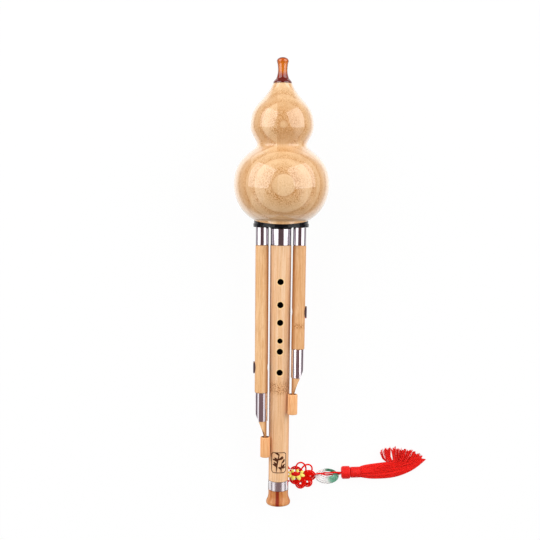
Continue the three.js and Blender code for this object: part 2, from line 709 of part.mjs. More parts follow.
const tilt = restingTilt(gourd, instrument.getObjectByName('bell'));
instrument.rotation.x = tilt;
instrument.updateMatrixWorld(true);
const box = new THREE.Box3().setFromObject(instrument, true);
const middle = box.getCenter(new THREE.Vector3());
instrument.position.set(-middle.x, -middle.y, -box.min.z);
instrument.updateMatrixWorld(true);

// Tassel: its pieces lie on the floor beside the pipe, on the side of its finger holes' right

const tieHole = new THREE.Vector3(0, tieHoleStations[0], -mainPipeFootRadius)
  .applyMatrix4(instrument.matrixWorld);

function beside(x, y, z) {
  return new THREE.Vector3(tieHole.x + x, tieHole.y + y, z);
}

// A surface over so many bands from ring to ring of points, each ring closed on itself
function banded(rings, bands) {
  const round = rings[0].length;
  const position = new Float32Array(rings.flat().flatMap((p) => p.toArray()));
  const corners = [];
  for (let i = 0; i < bands; i += 1) {
    const here = i * round;
    const next = ((i + 1) % rings.length) * round;
    for (let j = 0; j < round; j += 1) {
      const after = (j + 1) % round;
      corners.push(here + j, here + after, next + after, here + j, next + after, next + j);
    }
  }
  const geometry = new THREE.BufferGeometry();
  geometry.setAttribute('position', new THREE.BufferAttribute(position, 3));
  geometry.setIndex(corners);
  return plain(geometry);
}

// The last ring joined on to the first
function wrapped(rings) {
  return banded(rings, rings.length);
}

// Both end rings closed by a fan of triangles to their middles
function capped(rings) {
  const [near, far] = [rings[0], rings[rings.length - 1]].map((ring) => {
    const centre = ring.reduce((sum, p) => sum.add(p), new THREE.Vector3()).divideScalar(ring.length);
    return ring.map(() => centre);
  });
  return banded([near, ...rings, far], rings.length + 1);
}

function circle(count, pointAt) {
  return Array.from({ length: count }, (_, i) => pointAt(2 * Math.PI * i / count));
}

function cord(name, points) {
  const route = new THREE.CatmullRomCurve3(points);
  const section = new THREE.Shape(circle(cordSides, (angle) => (
    new THREE.Vector2(cordRadius * Math.cos(angle), cordRadius * Math.sin(angle)))));
  const steps = Math.ceil(route.getLength() / cordStep);
  console.log(`${name}: ${route.getLength().toFixed(1)} mm long`);
  return piece(name, new THREE.ExtrudeGeometry(section, { extrudePath: route, steps, bevelEnabled: false }),
    colours.cord);
}

// The knot's line goes round three times, weaving over and under itself. It starts and ends with a
// gap between its ends at the outermost place of the loop that the tie cord comes to.
class KnotLine extends THREE.Curve {
  getPoint(share) {
    const open = knotOpening / (4 * Math.PI * knotRounds * (knotRadius + knotReach));
    const weave = 2 * Math.PI * knotLoops * (open + share * (1 - 2 * open));
    const angle = knotStart * degrees + weave * knotRounds / knotLoops;
    const out = knotRadius + knotReach * Math.cos(weave);
    const height = floorGap + cordRadius + knotHeight * (1 + Math.sin(weave));
    return beside(knotPlace[0] + out * Math.cos(angle), knotPlace[1] + out * Math.sin(angle), height);
  }
}

// The least room between two stretches of the line that are at least so many points apart
function leastGap(points, apart) {
  let least = Infinity;
  for (let i = 0; i < points.length; i += 1) {
    for (let j = i + apart; j < points.length; j += 1) {
      least = Math.min(least, points[i].distanceTo(points[j]));
    }
  }
  return least - 2 * cordRadius;
}

function knot() {
  const line = new KnotLine();
  line.arcLengthDivisions = 4 * knotSteps;
  const { normals, binormals } = line.computeFrenetFrames(knotSteps, false);
  const rings = normals.map((normal, i) => circle(knotSides, (angle) => line.getPointAt(i / knotSteps)
    .addScaledVector(normal, cordRadius * Math.cos(angle))
    .addScaledVector(binormals[i], cordRadius * Math.sin(angle))));
  const points = line.getSpacedPoints(2 * knotSteps);
  const ends = points[0].distanceTo(points[points.length - 1]);
  const gap = leastGap(points.slice(2, -2), pointsApart);
  console.log(`knot: least gap to itself ${gap.toFixed(2)} mm, between its ends ${ends.toFixed(2)} mm`);
  console.log(`knot: ${line.getLength().toFixed(1)} mm of cord`);
  return piece('knot_loops', capped(rings), colours.cord);
}

function knotFlower() {
  const height = floorGap + 2 * (knotHeight + cordRadius) + fitGap + budSize[2];
  const buds = circle(budCount, (angle) => {
    const at = beside(flowerPlace[0] + budSpread[0] * Math.cos(angle),
      flowerPlace[1] + budSpread[1] * Math.sin(angle), height);
    const bud = new THREE.SphereGeometry(1, budSides, budSides / 2).scale(...budSize);
    return solid(bud.rotateZ(angle - Math.PI / 2).translate(...at.toArray()));
  });
  // A low pad under the buds joins them into one
  const pad = new THREE.SphereGeometry(1, 2 * budSides, budSides / 2).rotateX(Math.PI / 2)
    .scale(...budSpread, padShare * budSize[2]);
  buds.push(solid(pad.translate(...beside(...flowerPlace, height).toArray())));
  return piece('knot_flower', geometryOf(wasm.Manifold.union(buds)), colours.thread);
}

function glassRing() {
  const bottom = floorGap + 2 * cordRadius + fitGap;
  const ring = circle(ringSteps, (angle) => circle(ringSides, (turn) => {
    const out = (1 + Math.cos(turn)) / 2;
    const x = ringHolePlace[0] + ringHoleHalf[0] * Math.cos(angle);
    const y = ringHolePlace[1] + ringHoleHalf[1] * Math.sin(angle);
    const outerX = ringPlace[0] + ringHalf[0] * Math.cos(angle);
    const outerY = ringPlace[1] + ringHalf[1] * Math.sin(angle);
    const height = bottom + ringThickness * (1 - Math.sin(turn)) / 2;
    return beside(x + out * (outerX - x), y + out * (outerY - y), height);
  }));
  return piece('glass_ring', wrapped(ring), colours.glass);
}

// A place on the tassel's axis, which leaves the ring a little off square
function onTassel(along) {
  const turn = tasselTurn * degrees;
  const height = headRadius + floorGap;
  return beside(headPlace[0] + along * Math.cos(turn), headPlace[1] + along * Math.sin(turn), height);
}

function placedTassel(geometry, along) {
  return geometry.rotateZ(tasselTurn * degrees).translate(...onTassel(along).toArray());
}

const bindingStart = headLength + fitGap;
const skirtStart = bindingStart + bindingLength + fitGap;
const tasselBore = cordRadius + fitGap;

function hangingCords() {
  const inTassel = [fitGap, headLength, bindingStart + bindingLength, skirtStart + cordInSkirt].map(onTassel);
  return [
    cord('hanging_cord_over', overRoute.map((p) => beside(...p))),
    cord('hanging_cord_under', [...underRoute.map((p) => beside(...p)), ...inTassel]),
  ];
}

function tasselHead() {
  const near = Array.from({ length: roundSteps + 1 }, (_, i) => {
    const angle = Math.PI / 2 * i / roundSteps;
    return [headRadius - headRound * (1 - Math.sin(angle)), headRound * (1 - Math.cos(angle))];
  });
  const far = near.map(([radius, height]) => [radius, headLength - height]).reverse();
  const outline = [[tasselBore, 0], ...near, ...far, [tasselBore, headLength], [tasselBore, 0]];
  const knob = turned(outline, smallSides).rotateZ(-Math.PI / 2);
  const neck = sleeve(bindingRadius, tasselBore, 0, bindingLength, smallSides).rotateZ(-Math.PI / 2);
  return [
    piece('tassel_head', placedTassel(knob, 0), colours.cord),
    piece('tassel_binding', placedTassel(neck, bindingStart), colours.cord),
  ];
}

// The skirt: fluted sections from one row of shares to the next, lying on the floor throughout
function tasselSkirt() {
  const drop = headRadius;
  const last = skirtShares.length - 1;
  const sections = skirtShares.map(([nearX, nearY, farX, farY, thick], row) => (
    circle(2 * skirtFlutes, (angle) => {
      const flute = Math.round(angle * skirtFlutes / Math.PI) % 2;
      const out = 1 - fluteShare * flute * Math.min(row, 2) / 2;
      const share = (1 + out * Math.cos(angle)) / 2;
      const strand = row === last ? strandShare * flute : 0;
      return new THREE.Vector3(
        skirtLength * (nearX + share * (farX - nearX)),
        skirtLength * (nearY + share * (farY - nearY) + strand),
        skirtThickness * thick * (1 + out * Math.sin(angle)) / 2 - drop);
    })));
  const bore = new THREE.CylinderGeometry(tasselBore, tasselBore, 2 * (cordInSkirt + fitGap), smallSides);
  const skirt = solid(capped(sections)).subtract(solid(bore.rotateZ(Math.PI / 2)));
  return piece('tassel_skirt', placedTassel(geometryOf(skirt), skirtStart), colours.cord);
}

const tassel = new THREE.Group();
tassel.add(cord('tie_cord', tieRoute.map((p) => beside(...p))), knot(), knotFlower(), ...hangingCords(),
  glassRing(), ...tasselHead(), tasselSkirt());

const hulusi = new THREE.Group();
hulusi.add(instrument, tassel);

export default hulusi;
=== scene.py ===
"""A hulusi laid on a white table, finger holes up, with its cord, knot and tassel beside it."""

import json
import random
from functools import cached_property, partialmethod
from math import atan2, cos, dist, hypot, pi, radians, sin, sqrt

import bmesh
import bpy
from mathutils import Matrix, Vector

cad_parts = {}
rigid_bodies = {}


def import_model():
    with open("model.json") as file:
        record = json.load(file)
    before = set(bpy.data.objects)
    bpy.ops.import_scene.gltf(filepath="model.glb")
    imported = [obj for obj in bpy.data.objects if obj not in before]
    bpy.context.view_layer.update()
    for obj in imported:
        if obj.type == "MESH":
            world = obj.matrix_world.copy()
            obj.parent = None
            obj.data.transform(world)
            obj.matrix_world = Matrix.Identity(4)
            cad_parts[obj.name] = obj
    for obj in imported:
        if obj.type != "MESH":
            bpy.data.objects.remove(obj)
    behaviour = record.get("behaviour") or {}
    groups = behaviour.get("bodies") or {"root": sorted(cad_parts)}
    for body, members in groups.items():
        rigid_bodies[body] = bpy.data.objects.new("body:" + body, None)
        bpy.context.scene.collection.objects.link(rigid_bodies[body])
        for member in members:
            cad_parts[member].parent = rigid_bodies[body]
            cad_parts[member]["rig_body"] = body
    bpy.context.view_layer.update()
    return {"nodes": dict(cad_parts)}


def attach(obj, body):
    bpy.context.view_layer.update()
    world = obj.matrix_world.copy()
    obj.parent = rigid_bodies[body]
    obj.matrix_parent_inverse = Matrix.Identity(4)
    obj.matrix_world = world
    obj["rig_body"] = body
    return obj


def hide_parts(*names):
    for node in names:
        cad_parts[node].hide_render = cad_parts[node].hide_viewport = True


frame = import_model()
scene = bpy.context.scene

# Gourd. Two bulbs turned from a block of bamboo boards glued in layers, hollowed from the foot
# and lacquered to a high gloss. Sizes are in millimetres, upright from the bell's mouth.
LEAN = radians(6.184943950065644)
STAND = (0.0, -0.20830498, 0.01120024)
MM = Matrix.Scale(0.001, 4)
upright = Matrix.Translation(STAND) @ Matrix.Rotation(LEAN, 4, "X") @ MM


def paint(red, green, blue):
    """A colour as a photograph gives it, 0 to 255, made linear."""
    shares = [c / 255 for c in (red, green, blue)]
    return (*[s / 12.92 if s <= 0.04045 else ((s + 0.055) / 1.055) ** 2.4 for s in shares], 1.0)


class Tone:
    """A value inside a material. Sums and products of it add Math nodes."""

    family = "ShaderNode"

    def __init__(self, tree, socket=None):
        self.tree, self.socket = tree, socket

    def node(self, kind, settings=None, inputs=None, output=0):
        """Adds one node: its settings first, then the values or links of its sockets."""
        made = self.tree.nodes.new(self.family + kind)
        for name, value in (settings or {}).items():
            setattr(made, name, value)
        for name, value in (inputs or {}).items():
            if isinstance(value, Tone):
                self.tree.links.new(value.socket, made.inputs[name])
            else:
                made.inputs[name].default_value = value
        return Tone(self.tree, made.outputs[output] if made.outputs else None)

    def other(self, output):
        """Another output of the same node."""
        return Tone(self.tree, self.socket.node.outputs[output])

    def parts(self):
        """The X, Y and Z of a vector."""
        x = self.node("SeparateXYZ", None, {"Vector": self})
        return x, x.other("Y"), x.other("Z")

    def calc(self, operation, value=0.0):
        return self.node("Math", {"operation": operation}, {0: self, 1: value})

    def __rsub__(self, value):
        return self.node("Math", {"operation": "SUBTRACT"}, {0: value, 1: self})

    __add__ = partialmethod(calc, "ADD")
    __sub__ = partialmethod(calc, "SUBTRACT")
    __mul__ = partialmethod(calc, "MULTIPLY")
    __truediv__ = partialmethod(calc, "DIVIDE")

    def step(self, low, high, most=1.0):
        """0 below low and the most above high, smooth between."""
        inputs = {"Value": self, "From Min": low, "From Max": high, "To Max": most}
        return self.node("MapRange", {"interpolation_type": "SMOOTHSTEP"}, inputs)

    def blend(self, *colours):
        """One colour where this value is 0 and the other where it is 1. Painted ones have three parts."""
        made = [paint(*c) if isinstance(c, tuple) and len(c) == 3 else c for c in colours]
        return self.node("Mix", {"data_type": "RGBA"}, {0: self, 6: made[0], 7: made[1]}, 2)

    def ramp(self, *stops):
        """Colours along this value, each stop a place and a painted colour."""
        made = self.node("ValToRGB", None, {"Fac": self})
        elements = made.socket.node.color_ramp.elements
        elements.remove(elements[1])
        for i, (place, *colour) in enumerate(stops):
            stop = elements.new(place) if i else elements[0]
            stop.position, stop.color = place, paint(*colour)
        return made


class Finish(Tone):
    """A material. Its places are millimetres on the upright instrument, or on a piece as laid."""

    def __init__(self, name, stand=STAND, turn=(LEAN, 0, 0)):
        self.material = bpy.data.materials.new(name)
        self.material.use_nodes = True
        super().__init__(self.material.node_tree)
        self.tree.nodes.clear()
        self.laid = {"Location": stand, "Rotation": turn, "Scale": (0.001,) * 3}

    @cached_property
    def spot(self):
        """X across, Y up the instrument and Z to the front, as a vector."""
        place = self.node("TexCoord", output="Object")
        return self.node("Mapping", {"vector_type": "TEXTURE"}, {"Vector": place, **self.laid})

    def grain(self, size, detail=3, rough=0.6, shift=(0, 0, 0)):
        """Noise whose patches have about the given sizes across, along and through."""
        laid = {"Vector": self.spot, "Location": shift, "Scale": [1 / s for s in size]}
        scaled = self.node("Mapping", None, laid)
        inputs = {"Vector": scaled, "Scale": 1.0, "Detail": detail, "Roughness": rough}
        return self.node("TexNoise", None, inputs)

    def lay(self, share, *above):
        """Lays a painted colour over the finish in a share that may vary."""
        self.colour = share.blend(self.colour, above if len(above) == 3 else above[0])

    def facing(self):
        """0 where the surface is seen straight on, 1 at its edges."""
        return self.node("LayerWeight", output="Facing")

    def inside(self):
        """1 on the walls that are marked as inside."""
        return self.node("Attribute", {"attribute_name": "inside"}, output="Fac")

    def surface(self, rough, height=None, depth=0.0, specular=0.5, coat=(), **others):
        """The closing shader. A bump's depth is in metres. A coat is its weight, roughness, IOR."""
        named = {name.replace("_", " "): value for name, value in others.items()}
        named |= zip(("Coat Weight", "Coat Roughness", "Coat IOR"), coat)
        named |= {"Base Color": self.colour, "Roughness": rough, "Specular IOR Level": specular}
        if height:
            named["Normal"] = self.node("Bump", None, {"Height": height, "Distance": depth})
        shader = self.node("BsdfPrincipled", None, named)
        self.node("OutputMaterial", None, {"Surface": shader})
        return self.material


def meshed(made):
    """The mesh of a shape in the making, with its faces turned outward."""
    bmesh.ops.recalc_face_normals(made, faces=made.faces)
    mesh = bpy.data.meshes.new("shape")
    made.to_mesh(mesh)
    made.free()
    return mesh


def lofted(rows, closed=False):
    """A mesh with a skin from each row of points to the next, capped or closed to a ring."""
    made = bmesh.new()
    rings = [[made.verts.new(point) for point in row] for row in rows]
    for low, high in zip(rings, rings[1:] + (rings[:1] if closed else [])):
        count = max(len(low), len(high))
        for i in range(count):
            j = (i + 1) % count
            corners = [low[i % len(low)], low[j % len(low)], high[j % len(high)], high[i % len(high)]]
            made.faces.new(list(dict.fromkeys(corners)))
    for ring in [] if closed else (rings[0], rings[-1]):
        if len(ring) > 2:
            made.faces.new(ring)
    return meshed(made)


def circle(count):
    return [2 * pi * i / count for i in range(count)]


def turned(outline, sides=96):
    """A mesh turned about Y from (radius, height) points, closed where the outline is."""
    closed = outline[0] == outline[-1]
    rows = []
    for radius, height in outline[:-1] if closed else outline:
        angles = circle(sides) if radius else [0]
        rows.append([(radius * sin(a), height, radius * cos(a)) for a in angles])
    return lofted(rows, closed)


def linked(name, data):
    made = bpy.data.objects.new(name, data)
    scene.collection.objects.link(made)
    return made


def piece(name, mesh, material, cad=None):
    """A mesh becomes a piece. One that stands for no CAD node rides on the main pipe."""
    mesh.materials.clear()
    mesh.materials.append(material)
    made = linked(name, mesh)
    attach(made, frame["nodes"][cad]["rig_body"] if cad else "main_pipe")
    if cad:
        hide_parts(cad)
    return made


def finished(name, mesh, place, material, cad, smooth=35):
    """A made mesh, put in its place and cleaned, becomes the piece that stands for a CAD node."""
    mesh.transform(place)
    made = bmesh.new()
    made.from_mesh(mesh)
    bmesh.ops.remove_doubles(made, verts=made.verts, dist=1e-6)
    mesh = meshed(made)
    mesh.shade_smooth()
    mesh.set_sharp_from_angle(angle=radians(smooth))
    return piece(name, mesh, material, cad)


def bezier(points, steps):
    """Points along a cubic curve, the first one left out."""
    a, b, c, d = [Vector(p) for p in points]
    shares = [(i + 1) / steps for i in range(steps)]
    return [
        tuple(a * (1 - t) ** 3 + 3 * b * t * (1 - t) ** 2 + 3 * c * t * t * (1 - t) + d * t**3)
        for t in shares
    ]


GOURD_FOOT, GOURD_TOP, GOURD_WALL = 269.3, 396.7, 4.5
CAVITY_FOOT, CAVITY_TOP = 278.6, 380.7
FOOT_EDGE, FOOT_BORE, NECK_BORE = 25.4, 23, 5.3
gourd_stations = [(25.5, 271.8), (44.2, 304), (22.9, 341.1), (29.1, 357.5), (8.6, GOURD_TOP)]
gourd_handles = [
    [(0.95, 0.29), (1, 0.91)],
    [(0, 0.745), (1, 0.83)],
    [(0, 0.2), (1, 0.57)],
    [(0, 0.57), (0.67, 0.55)],
]


def gourd_outline(wall, steps):
    points = [(gourd_stations[0][0] - wall, gourd_stations[0][1])]
    for (r0, y0), (r1, y1), handles in zip(gourd_stations, gourd_stations[1:], gourd_handles):
        spread = [(0, 0), *handles, (1, 1)]
        curve = [(r0 + (r1 - r0) * u - wall, y0 + (y1 - y0) * v) for u, v in spread]
        points += bezier(curve, steps)
    return points


# The block's layers are counted in from its front, and its boards from one side. It was set in
# the lathe a little turned, and the seed gives each board its tone.
LAYER, BLOCK_FRONT = 7.02, 42.9
BOARD, BOARD_SHIFT = 23.3, 5.4
BLOCK_TURN, BLOCK_SEED = radians(1.8), 10231.75
wood = Finish("lacquered bamboo")
x, _, z = wood.spot.parts()
depth = (BLOCK_FRONT - (z * cos(BLOCK_TURN) + x * sin(BLOCK_TURN))) / LAYER
across = (x * cos(BLOCK_TURN) - z * sin(BLOCK_TURN) + BOARD_SHIFT) / BOARD
layer = depth.calc("FLOOR")
cell = wood.node("CombineXYZ", None, {"X": layer, "Y": across.calc("FLOOR"), "Z": BLOCK_SEED})
chance = wood.node("TexWhiteNoise", {"noise_dimensions": "3D"}, {"Vector": cell})
board = chance.ramp((0.0, 238, 199, 152), (0.5, 232, 189, 138), (1.0, 217, 167, 112))
# Fibres run up the gourd, and their bundles, dense at a board's outer face, are cut to flecks
outer = 1 - (depth - layer).step(0.0, 0.75)
streak = wood.grain((1.1, 26, 1.1), 4, 0.6)
fleck = wood.grain((0.6, 1.3, 0.6), 2, 0.6)
bundle = wood.grain((8, 15, 3), 2, 0.5, (3, 1, 7))
flecks = fleck.step(0.45, 0.58) * (outer * 0.65 + bundle.step(0.35, 0.65, 0.35) + 0.15)
wood.colour = streak.step(0.35, 0.7, 0.3).blend(board, (244, 212, 172))
wood.lay(outer * 0.25, 218, 158, 94)
wood.lay(flecks * 0.95, 186, 124, 50)
# Glue lines between layers and between boards
edge, seam = depth.calc("PINGPONG", 0.5), across.calc("PINGPONG", 0.5)
lines = (1 - edge.step(0.0, 0.03)) * 0.45 + (1 - seam.step(0.0, 0.007)) * 0.3
wood.lay(lines, 190, 128, 66)
# The clear lacquer is painted a pale pinkish white toward the edges, where it is seen at a slant: a
# painted reflection of the white backdrop
wood.lay(wood.facing().step(0.4, 0.95, 0.7), 255, 240, 224)
waver = wood.grain((7, 9, 7), 2, 0.4) + fleck * 0.1
gourd_wood = wood.surface(streak * 0.1 + 0.5, waver, 0.00004, coat=(1.0, 0.04, 1.6))
outside = [(FOOT_EDGE, GOURD_FOOT), *gourd_outline(0, 28)]
inside = [(r, y) for r, y in gourd_outline(GOURD_WALL, 12) if CAVITY_FOOT < y < CAVITY_TOP]
inside = [(r, y) for r, y in inside if r > NECK_BORE]
gourd_points = [(FOOT_BORE, GOURD_FOOT), *outside, (NECK_BORE, GOURD_TOP), (NECK_BORE, CAVITY_TOP)]
gourd_points += [(inside[-1][0], CAVITY_TOP), *reversed(inside), (inside[0][0], CAVITY_FOOT)]
gourd_points += [(FOOT_BORE, CAVITY_FOOT), (FOOT_BORE, GOURD_FOOT)]
gourd = turned(gourd_points, 128)
# The foot is hollowed to a wide arc that the cover's rim fits, lowest at the middle
COVER_RIM, FOOT_SAG = 25.9, 2.3
FOOT_ARC = (COVER_RIM**2 + FOOT_SAG**2) / (2 * FOOT_SAG)
for vertex in gourd.vertices:
    if vertex.co.y < GOURD_FOOT + 0.01:
        vertex.co.y += FOOT_ARC - sqrt(FOOT_ARC**2 - vertex.co.x**2)
finished("gourd", gourd, upright, gourd_wood, "gourd_body")

# Mouthpiece. A spout of amber resin, turned with a flare, a slim throat and a domed bead, and
# held in the gourd's neck by a tenon with cork lapped round it.
SPOUT_FOOT, SPOUT_LENGTH, SPOUT_RADIUS = 397.0, 23, 8.5
SPOUT_BORE, SPOUT_TENON, SPOUT_END = 1.6, 4.2, 382
spout_shares = [
    (1, 0), (0.95, 0.06), (0.7, 0.17), (0.585, 0.29), (0.52, 0.41), (0.505, 0.53),
    (0.53, 0.65), (0.575, 0.77), (0.64, 0.86), (0.54, 0.94), (0.3, 0.99),
]


def spline(points, steps):
    """Points of a smooth line through the given ones."""
    ends = [Vector(p) for p in (points[0], *points, points[-1])]
    made = [tuple(points[0])]
    for a, b, c, d in zip(ends, ends[1:], ends[2:], ends[3:]):
        square, cube = 2 * a - 5 * b + 4 * c - d, 3 * b - a - 3 * c + d
        for t in [(i + 1) / steps for i in range(steps)]:
            made.append(tuple(0.5 * (2 * b + (c - a) * t + square * t**2 + cube * t**3)))
    return made


resin = Finish("amber resin")
_, y, _ = resin.spot.parts()
swirl = resin.grain((4, 9, 4), 3, 0.5)
resin.colour = ((y - SPOUT_FOOT) / SPOUT_LENGTH + (swirl - 0.5) * 0.3).ramp(
    (0.0, 92, 14, 4),
    (0.14, 104, 22, 4),
    (0.3, 150, 44, 4),
    (0.48, 206, 112, 18),
    (0.78, 212, 112, 16),
    (0.9, 200, 90, 8),
    (1.0, 186, 76, 6),
)
# Toward its sides, as seen, the clear resin is painted darker and redder: painted shade, standing in for
# the greater depth of resin seen there
resin.lay(resin.facing().step(0.2, 0.7, 0.85), 110, 20, 2)
amber = resin.surface(swirl * 0.1 + 0.3, swirl, 0.00001, 0.05, (1.0, 0.03, 1.7))
side = spline([(SPOUT_RADIUS * r, SPOUT_FOOT + SPOUT_LENGTH * h) for r, h in spout_shares], 6)
spout = [(SPOUT_BORE, SPOUT_END), (SPOUT_TENON, SPOUT_END), (SPOUT_TENON, SPOUT_FOOT), *side]
spout += [(SPOUT_BORE, SPOUT_FOOT + SPOUT_LENGTH), (SPOUT_BORE, SPOUT_END)]
finished("mouthpiece_spout", turned(spout, 72), upright, amber, "mouthpiece")
cork = Finish("cork")
crumb = cork.grain((0.9, 0.9, 0.9), 3, 0.7)
pore = cork.grain((0.35, 0.5, 0.35), 2, 0.5, (5, 5, 5))
cork.colour = crumb.step(0.35, 0.65).blend((150, 104, 62), (198, 152, 102))
cork.lay(pore.step(0.62, 0.72), 84, 52, 30)
lapped_cork = cork.surface(0.9, crumb - pore.step(0.6, 0.7), 0.0002)


def dress(material, *names):
    """CAD nodes whose shape is right take a finer material."""
    for name in names:
        mesh = frame["nodes"][name].data
        mesh.materials.clear()
        mesh.materials.append(material)


def each(kind):
    return [f"{kind}_{pipe}" for pipe in ("main", "left", "right")]


dress(lapped_cork, "mouthpiece_cork", *each("tenon_cork"), *each("tube_stopper"))

# Base. A wooden plug in the gourd's mouth under a black moulded cover, with a black collar
# round each reed tube. The flanges of the side collars are cut back round the middle one.


def grained_finish(name, size, dark, light, span, rough, depth, coarse=0.6, specular=0.5):
    """One grain, which goes from a dark tone to a light one over a span of its values."""
    made = Finish(name)
    grain = made.grain(size, 3, coarse)
    made.colour = grain.step(*span).blend(dark, light)
    return made.surface(rough, grain, depth, specular)


black = Finish("black moulding")
mottle = black.grain((0.5, 0.5, 0.5))
dust = black.grain((5, 5, 5))
black.colour = dust.step(0.4, 0.8).blend((9, 9, 14), (18, 18, 26))
moulding = black.surface(mottle * 0.2 + 0.12, mottle, 0.00002, 0.25)
plug = (150, 104, 62), (196, 148, 98), (0.3, 0.7), 0.7, 0.0001
dress(grained_finish("plug wood", (1.4, 20, 9), *plug), "base_plug")
dress(moulding, "base_cover", *each("collar"))

# Reed sets. Brass tubes that pass up through the base into the gourd, each filed flat for a
# bronze plate whose tongue swings through its slot. They show only when the gourd is opened.


def metal_finish(name, light, dark, rough, streak_size):
    metal = Finish(name)
    haze = metal.grain((6, 9, 6))
    lines = metal.grain(streak_size, 2, 0.5)
    metal.colour = haze.step(0.35, 0.75, 0.6).blend(light, dark)
    return metal.surface(lines * rough + rough * 0.6, lines, 0.000002, Metallic=1.0)


brass = metal_finish("drawn brass", (214, 178, 96), (176, 132, 62), 0.3, (0.2, 30, 0.2))
bronze = metal_finish("filed bronze", (206, 148, 92), (160, 104, 58), 0.4, (8, 0.3, 8))
dress(brass, *each("reed_tube"))
dress(bronze, *each("reed_plate"), *each("reed_tongue"))

# Main pipe. A stick of bamboo with six finger holes burnt through its front, a thumb hole and
# two tie holes at the back, and its ends turned down for the ferrule and for the foot ring.
PIPE_BORE, FOOT_RADIUS, TOP_RADIUS = 6.2, 9.4, 9.8
PIPE_FOOT, PIPE_TOP, TENON_END = 23.5, 248.4, 263.8
finger_holes = [(129.2, 2.9), (149.1, 2.9), (159.2, 2.5), (176.4, 2.9), (193.1, 2.9), (214.7, 2.9)]
thumb_hole, tie_holes = (231, 2.9), [(33, 1.3), (42, 1.3)]
# A drone's side toward the main pipe is painted darker brown: painted shade between the pipes
DRONE_MIDDLE, INNER_SHADE_REACH = 17.7, 6.9


def pipe_radius(station):
    """The stick tapers a little from its top to its foot."""
    share = (station - PIPE_FOOT) / (PIPE_TOP - PIPE_FOOT)
    return FOOT_RADIUS + share * (TOP_RADIUS - FOOT_RADIUS)


def bamboo_finish(name, shift, light, dark, bore, knots=(), holes=(), shaded_side=0):
    bamboo = Finish(name)
    x, y, z = bamboo.spot.parts()
    fine = bamboo.grain((0.35, 30, 0.35), 3, 0.6, shift)
    band = bamboo.grain((1.5, 120, 1.5), 2, 0.5, shift)
    cloud = bamboo.grain((7, 40, 7), 2, 0.5, shift)
    fleck = bamboo.grain((0.3, 2.4, 0.3), 2, 0.5, shift)
    bamboo.colour = band.step(0.35, 0.65).blend(dark, light)
    bamboo.lay(cloud.step(0.4, 0.75, 0.5), dark)
    bamboo.lay(fine.step(0.5, 0.64, 0.55), 194, 130, 70)
    bamboo.lay(fleck.step(0.64, 0.74, 0.5), 160, 98, 48)
    # Toward its sides, as seen, the skin is painted darker and redder: painted shade
    bamboo.lay(bamboo.facing().step(0.4, 0.9, 0.8), 188, 114, 48)
    # Painted shade: the side toward the main pipe, within the reach of its edge, is darkened to brown
    if shaded_side:
        toward = (x * -shaded_side + DRONE_MIDDLE) / INNER_SHADE_REACH
        bamboo.lay(toward.step(0.4, 0.9, 0.8), 158, 94, 40)
    height = fine * 0.5 + band
    for station, length in knots:
        # A bamboo's joint, sanded flush: a band of brown flecks with a faint ridge over it
        away = ((y - station) / length).calc("ABSOLUTE")
        near = 1 - away.step(0.3, 1.0)
        spots = bamboo.grain((0.9, 1.3, 0.9), 3, 0.7, (7, 3, 1)).step(0.5, 0.58)
        bamboo.lay(near * 0.25, 216, 158, 96)
        bamboo.lay(near * spots * 0.85, 156, 88, 38)
        height = height + near * 2
    for station, radius in holes:
        # A paler ring is painted round each finger hole's rim, on the front
        down = y - station
        out = (x * x + down * down).calc("SQRT")
        rim = (1 - (out - radius).step(0.8, 1.3)) * z.step(0, 1)
        bamboo.lay(rim * 0.75, 244, 204, 146)
    # Walls marked as inside take the bore's tones, mottled: in the main pipe these are painted shade,
    # nearly black
    burnt = bamboo.grain((2, 6, 2))
    bamboo.lay(bamboo.inside().step(0.05, 0.4), burnt.step(0.3, 0.7).blend(*bore))
    return bamboo.surface(fine * 0.2 + 0.42, height, 0.00004, 0.15, (0.05, 0.2))


def applied(body, *spent):
    """An object's mesh with its modifiers applied. The object and the spent ones are removed."""
    shown = body.evaluated_get(bpy.context.evaluated_depsgraph_get())
    mesh = bpy.data.meshes.new_from_object(shown)
    body.modifiers.clear()
    for used in (body, *spent):
        bpy.data.objects.remove(used)
    return mesh


def carved(mesh, cutters):
    """The mesh less each cutter's mesh."""
    body = linked("body", mesh)
    blanks = [linked("blank", cutter) for cutter in cutters]
    for blank in blanks:
        cut = body.modifiers.new("cut", "BOOLEAN")
        cut.operation, cut.solver, cut.object = "DIFFERENCE", "EXACT", blank
    return applied(body, *blanks)


def drill(hole, direction, bevel=0.45):
    """A round cutter through one wall, with a bevelled mouth at the surface."""
    station, radius = hole
    reach = pipe_radius(station)
    outline = [(0, 0), (radius, 0), (radius, reach - bevel), (radius + 2 * bevel, reach + bevel)]
    mesh = turned([*outline, (0, reach + bevel)], 40)
    across = Matrix.Rotation(direction * pi / 2, 4, "X")
    mesh.transform(Matrix.Translation((0, station, 0)) @ across)
    return mesh


def mark_inside(mesh, radius):
    """An attribute that is 1 on walls nearer the axis than the radius, for the colour of the bore."""
    inner = mesh.attributes.new("inside", "FLOAT", "POINT")
    for marked, vertex in zip(inner.data, mesh.vertices):
        marked.value = float(hypot(vertex.co.x, vertex.co.z) < radius)
    return mesh


def stepped(outline, length):
    """The outline with long straight runs divided, so that cuts leave no long slivers."""
    points = [outline[0]]
    for (r0, y0), (r1, y1) in zip(outline, outline[1:]):
        count = max(1, round(hypot(r1 - r0, y1 - y0) / length))
        for i in range(1, count):
            points.append((r0 + (r1 - r0) * i / count, y0 + (y1 - y0) * i / count))
        points.append((r1, y1))
    return points


